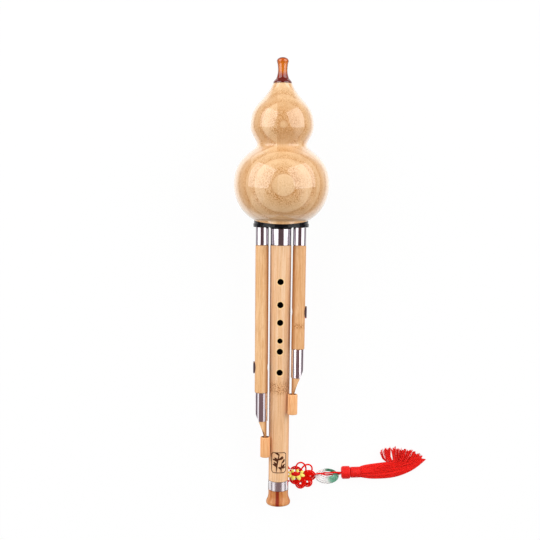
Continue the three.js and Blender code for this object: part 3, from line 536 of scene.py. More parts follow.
def stick_outline(bore, edge, foot, top):
    """A bored stick, each end of it given as radius, station, tenon's radius and tenon's end."""
    foot_radius, low, foot_tenon, foot_end = foot
    top_radius, high, top_tenon, top_end = top
    points = [(bore, foot_end), (foot_tenon, foot_end), (foot_tenon, low)]
    points += [(foot_radius - edge, low), (foot_radius, low + edge), (top_radius, high - edge)]
    points += [(top_radius - edge, high), (top_tenon, high), (top_tenon, top_end)]
    return [*points, (bore, top_end), (bore, foot_end)]


foot_end, top_end = (FOOT_RADIUS, PIPE_FOOT, 8.4, 8.6), (TOP_RADIUS, PIPE_TOP, 8.7, TENON_END)
pipe_outline = stick_outline(PIPE_BORE, 0.15, foot_end, top_end)
drills = [drill(hole, 1) for hole in finger_holes] + [drill(thumb_hole, -1)]
drills += [drill(hole, -1, 0.1) for hole in tie_holes]
pipe = mark_inside(carved(turned(stepped(pipe_outline, 8)), drills), FOOT_RADIUS - 0.45)
# The main pipe's bore is painted nearly black: painted shade inside the tube
tones, burnt = ((240, 202, 164), (232, 184, 138)), ((26, 14, 9), (60, 34, 18))
pipe_bamboo = "bamboo of the main pipe", (0, 0, 0), *tones, burnt, [(114.5, 9)], finger_holes
pipe_bamboo = bamboo_finish(*pipe_bamboo)
finished("fingered_pipe", pipe, upright, pipe_bamboo, "main_pipe", 40)

# Fittings of the main pipe: a chromed ferrule at its top and ring at its foot, both thin tubes
# pressed on, and a bell turned from stained hardwood with a rounded lip.


def chrome_finish(name, light, rough):
    """Bright plate with the faint smudges of handling."""
    chrome = Finish(name)
    smudge = chrome.grain((4, 7, 4))
    chrome.colour = smudge.step(0.4, 0.8, 0.15).blend(light, (120, 116, 122))
    shine = smudge.step(0.35, 0.8, 0.05) + rough
    return chrome.surface(shine, smudge, 0.000002, Metallic=1.0)


chrome = chrome_finish("bright chrome plate", (190, 184, 190), 0.05)
satin_chrome = chrome_finish("satin chrome plate", (250, 244, 248), 0.08)
brushed_chrome = chrome_finish("brushed chrome plate", (252, 246, 248), 0.24)


def sleeve_outline(radius, wall, bottom, top, round_off=0.15):
    inner, edge = radius - wall, radius - round_off
    points = [(inner, bottom), (edge, bottom), (radius, bottom + round_off)]
    return [*points, (radius, top - round_off), (edge, top), (inner, top), (inner, bottom)]


for name, cad, radius, wall, bottom, top, plate in [
    ("main_ferrule", "ferrule_main", 9.6, 0.6, 248.7, TENON_END, chrome),
    ("foot_ring", "bell_ring", 9.5, 0.8, 14.4, 23.2, brushed_chrome),
]:
    tube = turned(sleeve_outline(radius, wall, bottom, top))
    finished(name, tube, upright, plate, cad)

wood = Finish("stained bell wood")
x, _, _ = wood.spot.parts()
stripe = wood.grain((2.6, 60, 7), 3, 0.6, (1.5, 0, 0))
fine = wood.grain((0.3, 14, 0.3))
wood.colour = stripe.step(0.35, 0.65).blend((190, 112, 52), (212, 150, 92))
wood.lay(fine.step(0.5, 0.7, 0.4), 160, 80, 32)
# A dark red streak runs up the front
core = ((x + 1.0) / 2.4).calc("ABSOLUTE")
wood.lay((1 - core.step(0.45, 1.0)) * 0.92, 132, 24, 4)
# Painted shade: toward its edges, as seen, the bell is darker and redder
wood.lay(wood.facing().step(0.5, 0.95, 0.5), 190, 96, 44)
bell_wood = wood.surface(fine * 0.2 + 0.35, stripe + fine * 0.4, 0.00005, 0.2, (0.4, 0.12))
LIP, MOUTH, BELL_NECK = 11.5, 8.2, 9.4
SOCKET, SOCKET_FLOOR, BELL_TOP = 8.7, 8.3, 14.1
lip_shares = [(0.67, 0), (0.82, 0.05), (0.93, 0.2), (1, 0.5)]
lip = [(MOUTH + 3.3 * u, 3.3 * v) for u, v in lip_shares]
flare = bezier([(LIP, 1.65), (LIP, 4.65), (BELL_NECK, 4.65), (BELL_NECK, 11.28)], 16)
bell = [(MOUTH, 0), *lip, *flare, (9.47, 13), (9.6, BELL_TOP), (SOCKET, BELL_TOP)]
bell += [(SOCKET, SOCKET_FLOOR), (PIPE_BORE, SOCKET_FLOOR), (PIPE_BORE, 4), (MOUTH, 0)]
finished("turned_bell", turned(bell), upright, bell_wood, "bell", 50)

# Burnt mark. Low on the main pipe's front a sprig of bamboo in a round-cornered frame is burnt
# in with a hot wire, so its strokes are dark brown and taper at their ends.
STROKE_BOTTOM, STROKE_TOP = 9.35, 9.49


def stroke(points, width, taper=True):
    """A thin strip that follows the pipe's round front, from points across and up it."""
    rows = []
    count = len(points) - 1
    for i, (x, y) in enumerate(points):
        before, after = points[max(i - 1, 0)], points[min(i + 1, count)]
        along = Vector((after[0] - before[0], after[1] - before[1])).normalized()
        share = sin(pi * (0.12 + 0.76 * i / count)) if taper else 1.0
        half = 0.5 * width * share
        row = []
        for side, height in [(-1, STROKE_BOTTOM), (-1, STROKE_TOP), (1, STROKE_TOP), (1, STROKE_BOTTOM)]:
            angle = (x - side * along.y * half) / FOOT_RADIUS
            up = y + side * along.x * half
            row.append((height * sin(angle), up, height * cos(angle)))
        rows.append(row)
    return lofted(rows)


def leaf(x, y, angle, length):
    """A bamboo leaf as one swelling stroke."""
    tip = (x + length * sin(angle), y + length * cos(angle))
    bend = 0.12 * length
    middle = ((x + tip[0]) / 2 + bend * cos(angle), (y + tip[1]) / 2 - bend * sin(angle))
    return stroke(spline([(x, y), middle, tip], 5), 1.9)


def joined(meshes):
    made = bmesh.new()
    for mesh in meshes:
        made.from_mesh(mesh)
    return meshed(made)


frame_corners = [
    (-7.4, 34.6), (-7.4, 50.5), (-5.6, 52.3), (5.6, 52.3), (7.4, 50.5), (7.4, 34.6),
    (5.6, 32.8), (-5.6, 32.8), (-7.4, 34.6),
]
leaves = [
    (-1.9, 38.6, -1.1, 4.6), (-1.9, 38.8, -0.6, 5.0), (-1.1, 43.6, -1.2, 5.2),
    (-1.1, 43.8, -0.7, 4.6), (-0.7, 45.4, 0.9, 5.6), (-0.5, 46.2, 1.3, 5.4),
    (0.3, 49.6, -1.0, 4.4), (2.5, 38.4, 0.9, 4.4), (2.6, 38.0, 1.5, 4.0),
    (3.2, 42.4, 0.6, 4.2), (2.4, 36.0, -0.9, 3.4),
]
strokes = [stroke(stepped(frame_corners, 0.9), 0.75, False)]
strokes += [stroke(spline([(-2.2, 33.6), (-1.8, 39), (-0.8, 45), (0.6, 51)], 6), 1.5)]
strokes += [stroke(spline([(2.4, 33.4), (2.5, 38), (3.4, 43.5)], 6), 1.2)]
mark = joined([*strokes, *[leaf(*place) for place in leaves]])
mark.transform(upright)
char = (48, 18, 6), (104, 54, 24), (0.3, 0.75), 0.7, 0.00006, 0.6, 0.2
piece("burnt_sprig", mark, grained_finish("burnt strokes", (0.4, 0.6, 0.4), *char))

# Drones. Two bamboo side pipes with chromed ferrules and quill-cut chromed sleeves, whose bare
# tongues hold loose wooden caps. Each one is modelled down from its collar and leaned forward.
DRONE_ASIDE, COLLAR_FACE = 17.5, 265.3
DRONE_RADIUS, DRONE_BORE, DRONE_EDGE = 6.15, 3.9, 0.12
TUBE_RADIUS, TUBE_WALL, GAP = 6.05, 0.5, 0.3
SHANK = TUBE_RADIUS - TUBE_WALL - GAP
FERRULE_LENGTH, SLEEVE_LENGTH = 16.5, 27
CUT_START, CUT_LENGTH, CUT_PAST, TIP_THICK = 15.2, 27.5, 7, 2.5
TIP_HALF, TIP_IN_CAP = 2.6, 6
CAP_LENGTH, CAP_RADIUS, CAP_BORE, CAP_ASIDE = 19.2, 4.6, 3.15, 4.05
HOLE_HALF_LENGTH, HOLE_HALF_WIDTH = 3.9, 2.22


def prism(outline, low, high):
    """A straight-sided block through (x, y) points, from one Z to another."""
    return lofted([[(x, y, z) for x, y in outline] for z in (low, high)])


def quill_cut(sleeve_top):
    """What the slanting cut takes from a drone's end and from the sleeve on it."""
    start = sleeve_top - CUT_START
    edge = SHANK - TIP_THICK
    drop = DRONE_RADIUS + edge
    shares = [(0, 0), (0.18, 0.35), (0.75, 0.55), (1, 1)]
    places = [(-DRONE_RADIUS + u * drop, start - v * CUT_LENGTH) for u, v in shares]
    curve = [places[0], *bezier(places, 24)]
    end = start - CUT_LENGTH - CUT_PAST
    outline = [(-DRONE_RADIUS - 1, start), *curve, (edge, end), (-DRONE_RADIUS - 1, end)]
    return prism(outline, -DRONE_RADIUS - 1, DRONE_RADIUS + 1)


def paring(side, sleeve_bottom, cap_top):
    """What is pared from one side of the tongue."""
    wide, end = DRONE_RADIUS + 1, cap_top - CUT_PAST
    points = [(wide, sleeve_bottom), (TIP_HALF, cap_top + GAP), (TIP_HALF, end), (wide, end)]
    block = prism([(-side * z, y) for z, y in points], -wide, wide)
    block.transform(Matrix.Rotation(pi / 2, 4, "Y"))
    return block


def sound_hole(eyelet):
    """An oval rod out through the wall under the eyelet."""
    low, high = -1.5, DRONE_RADIUS + 1
    rod = turned([(0, low), (1, low), (1, high), (0, high)], 48)
    outward = Matrix.Rotation(pi, 4, "Y") @ Matrix.Rotation(pi / 2, 4, "Z")
    grown = Matrix.Diagonal((HOLE_HALF_LENGTH, 1, HOLE_HALF_WIDTH, 1))
    rod.transform(Matrix.Translation((0, -eyelet, 0)) @ outward @ grown)
    return rod


wood = Finish("cap wood")
fine = wood.grain((0.4, 12, 0.4))
band = wood.grain((1.6, 30, 1.6), 2, 0.5)
wood.colour = band.step(0.3, 0.7).blend((230, 162, 104), (242, 188, 134))
wood.lay(fine.step(0.5, 0.66, 0.5), 206, 124, 64)
# Painted shade: the cap's bore is darkened to a deep red-brown
wood.lay(wood.inside().step(0.2, 0.9), 120, 38, 18)
cap_wood = wood.surface(fine * 0.1 + 0.5, fine + band, 0.00006, 0.25)
drone_bore = (150, 92, 46), (196, 138, 82)
for name, side, lean, toe_in, sleeve, eyelet, light, dark, knots in [
    ("left", -1, 2.05, 0.15, 155.7, 132.1, (238, 196, 150), (226, 176, 124), []),
    ("right", 1, 2.95, 0.35, 114.1, 79.4, (230, 184, 138), (216, 162, 110), [(173.5, 4)]),
]:
    place = (
        upright
        @ Matrix.Translation((side * DRONE_ASIDE, COLLAR_FACE, 0))
        @ Matrix.Rotation(-radians(lean), 4, "X")
        @ Matrix.Rotation(-side * radians(toe_in), 4, "Z")
        @ Matrix.Rotation(pi if side > 0 else 0.0, 4, "Y")
    )
    ferrule_top = -(GAP + TUBE_RADIUS * sin(radians(lean)))
    ferrule_bottom = ferrule_top - FERRULE_LENGTH
    sleeve_top, sleeve_bottom = -sleeve, -sleeve - SLEEVE_LENGTH
    cap_top = sleeve_top - CUT_START - CUT_LENGTH
    cap_bottom, pipe_end = cap_top - CAP_LENGTH, cap_top - TIP_IN_CAP
    foot = (DRONE_RADIUS, sleeve_top + GAP, SHANK, pipe_end)
    top = (DRONE_RADIUS, ferrule_bottom - GAP, SHANK, ferrule_top)
    outline = stick_outline(DRONE_BORE, DRONE_EDGE, foot, top)
    cutters = [quill_cut(sleeve_top), sound_hole(eyelet)]
    cutters += [paring(s, sleeve_bottom, cap_top) for s in (-1, 1)]
    pipe = mark_inside(carved(turned(stepped(outline, 4), 72), cutters), DRONE_BORE + 0.3)
    bamboo = f"bamboo of the {name} drone", (11 * side, 3, 5), light, dark, drone_bore, knots, (), side
    bamboo = bamboo_finish(*bamboo)
    finished(f"drone_stick_{name}", pipe, place, bamboo, f"drone_pipe_{name}", 30)
    tube = turned(sleeve_outline(TUBE_RADIUS, TUBE_WALL, ferrule_bottom, ferrule_top), 72)
    finished(f"drone_ferrule_{name}", tube, place, chrome, f"ferrule_{name}")
    tube = stepped(sleeve_outline(TUBE_RADIUS, TUBE_WALL, sleeve_bottom, sleeve_top), 3)
    tube = carved(turned(tube, 72), [quill_cut(sleeve_top)])
    finished(f"drone_quill_{name}", tube, place, satin_chrome, f"quill_sleeve_{name}", 30)
    rounding = [(0, 0.8), (0.1, 0.4), (0.4, 0.1), (0.8, 0)]
    cap = [(CAP_BORE, cap_bottom)]
    cap += [(CAP_RADIUS - u, cap_bottom + v) for u, v in reversed(rounding)]
    cap += [(CAP_RADIUS - u, cap_top - v) for u, v in rounding]
    cap += [(CAP_BORE, cap_top), (CAP_BORE, cap_bottom)]
    cap = mark_inside(turned(cap, 64), CAP_BORE + 0.15)
    beside = place @ Matrix.Translation((CAP_ASIDE, 0, 0))
    finished(f"drone_cap_{name}", cap, beside, cap_wood, f"tip_cap_{name}")
dress(chrome, "eyelet_left", "eyelet_right")

# Cords. One thin knitted cord is tied through the two small holes at the pipe's back, worked
# into a knot of loops, and hangs on from it as two strands through the ring to the tassel.
TIE_HOLE = (0.0, -174.4843, 5.4103)
CORD, CORD_LOW = 0.75, 0.1


def beside_pipe(points):
    """Points given across and along from the lower tie hole and up from the table."""
    return [(TIE_HOLE[0] + x, TIE_HOLE[1] + y, z) for x, y, z in points]


def tube_mesh(points, radius, sides):
    """A tube along points, with its own map: round and along."""
    line = [Vector(p) for p in points]
    rows, lengths, normal = [], [0.0], None
    for i, centre in enumerate(line):
        if i:
            lengths.append(lengths[-1] + (centre - line[i - 1]).length)
        along = (line[min(i + 1, len(line) - 1)] - line[max(i - 1, 0)]).normalized()
        if normal is None:
            normal = along.cross(Vector((0, 0, 1)))
            normal = normal if normal.length > 0.1 else along.cross(Vector((0, 1, 0)))
        normal = (normal - along * normal.dot(along)).normalized()
        across = along.cross(normal)
        spokes = [normal * cos(a) + across * sin(a) for a in circle(sides)]
        rows.append([centre + radius * spoke for spoke in spokes])
    mesh = lofted(rows)
    cord_map = mesh.uv_layers.new(name="cord").data
    for face in mesh.polygons[: (len(rows) - 1) * sides]:
        row, side = divmod(face.index, sides)
        for loop, (u, v) in zip(face.loop_indices, [(0, 0), (1, 0), (1, 1), (0, 1)]):
            cord_map[loop].uv = ((side + u) / sides, lengths[row + v])
    return mesh


cord = Finish("red knitted cord")
u, v, _ = cord.node("UVMap", {"uv_map": "cord"}).parts()
# Two sets of stitches cross each other round the cord
one = ((u * 3 + v / 1.1) * 6.2832).calc("SINE")
two = ((u * 3 - v / 1.1) * 6.2832).calc("SINE")
stitch = one * two
fuzz = cord.grain((0.25, 0.25, 0.25), 3, 0.7)
cord.colour = stitch.step(-0.7, 0.6).blend((222, 8, 4), (250, 26, 12))
cord.lay(fuzz.step(0.5, 0.8, 0.25), 255, 56, 36)
red_cord = cord.surface(0.7, stitch + fuzz * 0.5, 0.00006, 0.05)


def cord_piece(name, line, radius, sides, cad=None):
    mesh = tube_mesh(line, radius, sides)
    mesh.transform(MM)
    mesh.shade_smooth()
    return piece(name, mesh, red_cord, cad)


def declare(cord, line, far_end, lay, with_pieces=()):
    """The line's points are worked out in metres; nothing more is done with them."""
    path = [[c / 1000 for c in p] for p in line]


def free_cord(name, points, cad, *declared):
    """A cord along its CAD node's route."""
    line = spline(beside_pipe(points), 5)
    declare(cord_piece(name, line, CORD, 12, cad), line, *declared)


tie_route = [
    (10.86, -14.89, 2.1), (9.48, -14.49, 1.8), (7.91, -13.11, 1.2), (5.55, -8.13, 0.95),
    (3.35, -3.67, 1.05), (1.2, -0.6, 2.2), (0.1, -0.1, 4.6), (0, -0.2, 7), (0, 0.15, 9.6),
    (0, 1.9, 11.9), (0, 4.2, 12.8), (0, 6.6, 12.4), (0, 8.4, 10.4), (0, 8.75, 7.9),
    (0.1, 8.85, 5.2), (0.8, 8.8, 3), (2.7, 7.8, 1.4), (5.37, 5.19, 0.95),
    (7.73, 1.61, 0.95), (9.5, -1.31, 1.5), (11.07, -3.11, 2.1),
]
free_cord("tie_loop", tie_route, "tie_cord", "object", "taut")

# Knot. The cord goes three times round, over and under itself, into seven loops, and a flower of
# eight wound yellow buds sits round a red dome on its pipe side.
KNOT, KNOT_START = (23.22, -9.01), radians(153.4)
KNOT_STEPS, LOOPS, ROUNDS = 420, 7, 3
LOOP_MIDDLE, LOOP_SWING, LOOP_LIFT = 7.8, 4.7, 1.25
KNOT_GAP = 0.6 / (4 * pi * ROUNDS * (LOOP_MIDDLE + LOOP_SWING))
knot_points = []
for i in range(KNOT_STEPS + 1):
    weave = 2 * pi * LOOPS * (KNOT_GAP + i / KNOT_STEPS * (1 - 2 * KNOT_GAP))
    angle = KNOT_START + weave * ROUNDS / LOOPS
    out = LOOP_MIDDLE + LOOP_SWING * cos(weave)
    height = CORD_LOW + CORD + LOOP_LIFT * (1 + sin(weave))
    knot_points.append((KNOT[0] + out * cos(angle), KNOT[1] + out * sin(angle), height))
knot_line = beside_pipe(knot_points)
knot = cord_piece("knot_of_loops", knot_line, CORD, 10, "knot_loops")
# Doubled cord fills the loops at the bell's side and the right: a second pass lies beside the
# first and a third inside it. The two loops toward the mouthpiece are left single and open.
doubled_cords = []
for name, first, last, aside, radius in [
    ("second_pass_right", 2, 92, 1.6, 0.8),
    ("second_pass_low", 148, 212, 1.6, 0.8),
    ("second_pass_left", 268, 418, 1.6, 0.8),
    ("third_pass_right", 32, 88, 3.0, 0.62),
    ("third_pass_low", 152, 208, 3.0, 0.62),
    ("third_pass_left", 272, 388, 3.0, 0.62),
]:
    beside = []
    for i in range(first, last + 1):
        along = Vector(knot_points[i + 2]) - Vector(knot_points[i - 2])
        inward = Vector((-along.y, along.x, 0)).normalized()
        beside.append(tuple(Vector(knot_points[i]) + aside * inward))
    cord_piece(name, beside_pipe(beside), radius, 8)
    doubled_cords.append(name)


def bud_mesh(size, turn, centre, slim=0.0, rings=14, sides=24):
    """A plump bud, slimmer toward its outer end by the given share."""
    outline = [(0, -1)]
    for share in [i / rings for i in range(1, rings)]:
        angle = pi * share
        outline.append((sin(angle) * (1 + slim * (0.5 - share)), -cos(angle)))
    mesh = turned([*outline, (0, 1)], sides)
    grown = Matrix.Rotation(turn, 4, "Z") @ Matrix.Diagonal((*size, 1))
    mesh.transform(Matrix.Translation(beside_pipe([centre])[0]) @ grown)
    return mesh


FLOWER, BUD_THICK = (16.71, -7.03), 1.3
flower_height = CORD_LOW + 2 * (LOOP_LIFT + CORD) + 0.3 + 1
bud_places = [
    (-2.4, -3.6, 2.1, 2.9), (3.0, -3.4, 2.1, 2.9), (6.4, -1.2, 1.7, 2.7),
    (6.2, 2.0, 1.4, 1.9), (1.8, 3.0, 1.4, 1.7), (-2.9, 2.8, 1.4, 1.7),
    (-5.7, 1.2, 1.3, 1.7), (-5.6, -2.0, 1.5, 2.1),
]
buds = []
for across, along, wide, long in bud_places:
    outward = atan2(along, across * 0.6) - pi / 2
    spot = (FLOWER[0] + across, FLOWER[1] + along, flower_height)
    buds.append(bud_mesh((wide, long, BUD_THICK), outward, spot, 0.6))
silk_grain, silk_sheen = (0.35, 0.35, 0.35), ((0.3, 0.75), 0.6, 0.00008, 0.7, 0.2)
yellow = (252, 228, 84), (255, 248, 150)
yellow = grained_finish("yellow silk", silk_grain, *yellow, *silk_sheen)
finished("yellow_buds", joined(buds), MM, yellow, "knot_flower", 80)
dome = bud_mesh((4.6, 2.3, 1.9), 0, (*FLOWER, flower_height))
dome.transform(MM)
dome.shade_smooth()
red = (204, 8, 6), (244, 24, 12)
piece("flower_dome", dome, grained_finish("red silk", silk_grain, *red, *silk_sheen))

# Ring. A flat oval ring of milky glass with a green cloud in it, which the two strands hold by
# passing over one side of it, down through the hole and under the other.
RING, RING_HALF = (47.03, -9.25), (11.5, 7.4)
HOLE, HOLE_HALF = (47.03, -7.1), (5.9, 2.6)
RING_BOTTOM, RING_THICK = 1.9, 3.5


def oval(middle, half, angle):
    return middle[0] + half[0] * cos(angle), middle[1] + half[1] * sin(angle)


def ring_mesh(around=96, round_sides=32):
    """Ovals that reach from the hole's edge to the ring's, one at each angle round it."""
    rows = []
    for a in circle(around):
        (x0, y0), (x1, y1) = oval(HOLE, HOLE_HALF, a), oval(RING, RING_HALF, a)
        row = []
        for b in circle(round_sides):
            share = (1 + cos(b)) / 2
            height = RING_BOTTOM + RING_THICK * (1 + sin(b)) / 2
            row.append((x0 + share * (x1 - x0), y0 + share * (y1 - y0), height))
        rows.append(beside_pipe(row))
    return lofted(rows, True)


glass = Finish("milky glass", (0, 0, 0), (0, 0, 0))
x, y, _ = glass.spot.parts()
cloud = glass.grain((9, 7, 5), 3, 0.6, (2, 4, 0))
drift = (cloud - 0.5) * 7
# The green lies over the far side and the right end
right = (x - 46.0 + drift + (y + 183) * 0.35).step(-1.5, 4.5)
milk = cloud.step(0.3, 0.7).blend((248, 243, 241), (255, 254, 253))
pale = (1 - (y + 179.5).step(-2.5, 1.5)) * 0.8 + cloud.step(0.5, 0.66, 0.5)
green = pale.step(0.1, 0.9).blend((20, 112, 74), (126, 190, 162))
glass.colour = right.blend(milk, green)
milky_glass = glass.surface(
    cloud * 0.06 + 0.08,
    coat=(0.6, 0.04),
    Transmission_Weight=0.45,
    IOR=1.5,
    Subsurface_Weight=0.3,
    Subsurface_Radius=(0.003, 0.003, 0.003),
    Subsurface_Scale=1.0,
)
finished("oval_ring", ring_mesh(), MM, milky_glass, "glass_ring", 60)

# Tassel. A knob and a neck wound round with red silk, over a skirt of a thousand silk threads
# that lies on the table. Its upper threads fan out toward the mouthpiece.
HEAD, TURN = (60.62, -5.13), radians(2.2)
HEAD_LENGTH, HEAD_RADIUS, HEAD_ROUND, HEAD_BORE = 8.8, 6.1, 2.0, 1.05
NECK_START, NECK_LENGTH, NECK_RADIUS, NECK_EDGE = 9.1, 9.2, 5.2, 0.3
NECK_TURNS, NECK_THREAD = 15, 0.12
SKIRT_START, SKIRT_LENGTH, SKIRT_THICK = 18.6, 63.4, 10.0
start = beside_pipe([(*HEAD, HEAD_RADIUS + CORD_LOW)])[0]
tassel_place = MM @ Matrix.Translation(start) @ Matrix.Rotation(TURN, 4, "Z")
on_its_side = tassel_place @ Matrix.Rotation(-pi / 2, 4, "Z")


def silk_finish(name, light, dark, size):
    silk = Finish(name, (0, 0, 0), (0, 0, TURN))
    strand = silk.grain(size, 3, 0.65)
    band = silk.grain([4 * s for s in size], 2, 0.5)
    silk.colour = strand.step(0.3, 0.72).blend(dark, light)
    silk.lay(band.step(0.45, 0.75, 0.35), dark)
    return silk.surface(0.5, strand + band, 0.00015, 0.25)


wound_silk = silk_finish("wound red silk", (246, 30, 18), (204, 10, 4), (0.3, 3, 3))
angles = [i * pi / 16 for i in range(9)]
corners = [(HEAD_ROUND * (1 - cos(a)), HEAD_ROUND * (1 - sin(a))) for a in angles]
head = [(HEAD_BORE, 0), *[(HEAD_RADIUS - v, u) for u, v in corners]]
head += [(HEAD_RADIUS - v, HEAD_LENGTH - u) for u, v in reversed(corners)]
head += [(HEAD_BORE, HEAD_LENGTH), (HEAD_BORE, 0)]
head = turned(head, 64)
finished("tassel_knob", head, on_its_side, wound_silk, "tassel_head", 80)
neck_end, neck_side = NECK_START + NECK_LENGTH, NECK_RADIUS - NECK_EDGE
neck = [(HEAD_BORE, NECK_START), (neck_side, NECK_START)]
for share in [i / (NECK_TURNS * 4) for i in range(NECK_TURNS * 4 + 1)]:
    swell = NECK_THREAD * abs(sin(pi * NECK_TURNS * share))
    up = NECK_START + 0.1 + share * (NECK_LENGTH - 0.2)
    neck.append((NECK_RADIUS - NECK_THREAD + swell, up))
neck += [(neck_side, neck_end), (HEAD_BORE, neck_end), (HEAD_BORE, NECK_START)]
neck = turned(neck, 64)
finished("tassel_neck", neck, on_its_side, wound_silk, "tassel_binding", 80)

# Rows across the bundle: the near edge, the far edge and the thickness, in shares
skirt_rows = [
    (0, -0.082, 0, 0.082, 1.02),
    (0.07, -0.098, 0.06, 0.1, 0.98),
    (0.2, -0.116, 0.17, 0.114, 0.84),
    (0.45, -0.112, 0.39, 0.134, 0.7),
    (0.65, -0.067, 0.58, 0.146, 0.56),
    (0.83, 0.014, 0.74, 0.158, 0.44),
    (1.01, 0.15, 0.87, 0.172, 0.34),
]
# The upper threads turn up out of the bundle into a fan: it leaves the bundle along the first
# line and ends along the second
fan_roots = [(0.4, 0.13), (0.465, 0.14), (0.51, 0.14), (0.6, 0.12), (0.7, 0.11), (0.83, 0.115)]
fan_tips = [(0.3, 0.29), (0.42, 0.33), (0.535, 0.325), (0.7, 0.305), (0.84, 0.26), (0.97, 0.2)]
FAN_BUNDLES = 26


def skirt_point(row, share, height):
    near_x, near_y, far_x, far_y, thick = row
    x = SKIRT_START + SKIRT_LENGTH * (near_x + share * (far_x - near_x))
    y = SKIRT_LENGTH * (near_y + share * (far_y - near_y))
    return (x, y, SKIRT_THICK * thick * height - HEAD_RADIUS)


def bundle_thread(share, height, wander, reach):
    """A thread keeps its place in the bundle, with a little drift, and ends ragged."""
    controls = []
    for i, row in enumerate(skirt_rows):
        looseness = max(0.0, (i - 2) / 4)
        u = min(max(share + wander[0] * looseness, 0.0), 1.0)
        w = min(max(height + wander[1] * looseness, 0.03), 0.97)
        x, y, z = skirt_point(row, u, w)
        controls.append((x + 14 * wander[2] * looseness**2, y, z))
    line = spline(controls, 3)
    keep = max(4, round(reach * (len(line) - 1)))
    return line[: keep + 1]


def fan_thread(chance, share, height, wander, reach):
    """Threads of the fan hang in small bundles, loose at the left and close at the right."""
    bundle = (chance.randrange(FAN_BUNDLES) + 0.5) / FAN_BUNDLES
    place = min(max(bundle + chance.gauss(0, 0.006 + 0.012 * bundle), 0.0), 1.0) * 5
    step = min(int(place), 4)
    tip = Vector(fan_tips[step]).lerp(Vector(fan_tips[step + 1]), place - step)
    root = Vector(fan_roots[step]).lerp(Vector(fan_roots[step + 1]), place - step)
    uneven = 0.93 + 0.2 * (bundle * 9.7 % 1)
    tip = root + (tip - root) * (reach + 1.5 * wander[0]) * uneven
    bend = Vector((-0.015, -0.012)) if place < 1.5 else Vector((0.015, -0.015))
    bent = [(root - Vector((0.13, 0.03)), 0.6), (root, 0.55), (root.lerp(tip, 0.45) + bend, 0.45)]
    controls = [skirt_point(row, 0.45 + 0.5 * share, height) for row in skirt_rows[:3]]
    for point, raised in [*bent, (tip, 0.3)]:
        up = HEAD_RADIUS * (2 * raised * (0.3 + 0.7 * height) - 1)
        controls.append((SKIRT_START + SKIRT_LENGTH * point.x, SKIRT_LENGTH * point.y, up))
    return spline(controls, 3)


def thread_lines(body_count, fan_count, seed):
    chance = random.Random(seed)
    lines = []
    for number in range(body_count + fan_count):
        angle = chance.uniform(0, 2 * pi)
        out = sqrt(chance.uniform(0, 1))
        share = 0.5 + 0.485 * out * cos(angle)
        height = 0.5 + 0.47 * out * sin(angle)
        wander = [chance.gauss(0, 0.03) for _ in range(3)]
        reach = chance.uniform(0.9, 1.02)
        if number < body_count:
            lines.append(bundle_thread(share, height, wander, reach))
        else:
            lines.append(fan_thread(chance, share, height, wander, reach))
    return lines


THREAD_RADIUS, THREAD_SIDES = 0.00026, 4
skirt_silk = silk_finish("skirt silk", (252, 38, 24), (224, 14, 8), (6, 0.3, 0.3))
# Geometry nodes turn thin lines into round threads
tree = bpy.data.node_groups.new("silk threads", "GeometryNodeTree")
for name, way, kind in [
    ("Geometry", "INPUT", "Geometry"),
    ("Thread radius", "INPUT", "Float"),
    ("Thread sides", "INPUT", "Int"),
    ("Geometry", "OUTPUT", "Geometry"),
]:
    tree.interface.new_socket(name, in_out=way, socket_type="NodeSocket" + kind)
given, thread = [Tone(tree, s) for s in tree.nodes.new("NodeGroupInput").outputs], Tone(tree)
thread.family = "GeometryNode"
curve = thread.node("MeshToCurve", None, {0: given[0]})
profile = thread.node("CurvePrimitiveCircle", None, {"Radius": given[1], "Resolution": given[2]})
swept = thread.node("CurveToMesh", None, {0: curve, 1: profile, "Fill Caps": True})
real = thread.node("RealizeInstances", None, {0: swept})
coated = thread.node("SetMaterial", None, {0: real, "Material": skirt_silk})
tree.links.new(coated.socket, tree.nodes.new("NodeGroupOutput").inputs[0])
points, edges = [], []
for line in thread_lines(700, 300, 5):
    edges += [(len(points) + i, len(points) + i + 1) for i in range(len(line) - 1)]
    points += [tassel_place @ Vector(p) for p in line]
lines_mesh = bpy.data.meshes.new("threads")
lines_mesh.from_pydata(points, edges, [])
source = linked("threads", lines_mesh)
sweep = source.modifiers.new("threads", "NODES")
sweep.node_group = tree
sockets = {s.name: s.identifier for s in tree.interface.items_tree if s.in_out == "INPUT"}
sweep[sockets["Thread radius"]] = THREAD_RADIUS
sweep[sockets["Thread sides"]] = THREAD_SIDES
skirt = applied(source)
skirt.shade_smooth()
piece("tassel_threads", skirt, skirt_silk, "tassel_skirt")

over_route = [
    (28.56, -8.48, 5.3), (32.03, -7.85, 5.5), (35.9, -6.84, 6.2), (39.56, -6.18, 6.6),
    (42.64, -6.75, 6.2), (45.35, -7.78, 4.6), (47.68, -8.36, 2.6), (50.4, -8.36, 1.1),
    (53.49, -8.08, 0.95), (56.36, -7.82, 0.95), (58.3, -7.67, 1), (59.39, -7.41, 1.8),
    (59.85, -7.14, 3),
]
under_route = [
    (36.88, -9.7, 0.95), (39.34, -8.88, 0.95), (42.2, -7.3, 1.3), (44.6, -6.26, 3),
    (46.77, -5.9, 4.9), (49.58, -5.5, 6.4), (52.82, -5.03, 6.9), (56.3, -4.95, 6.8),
    (59.18, -5.05, 6.4),
]
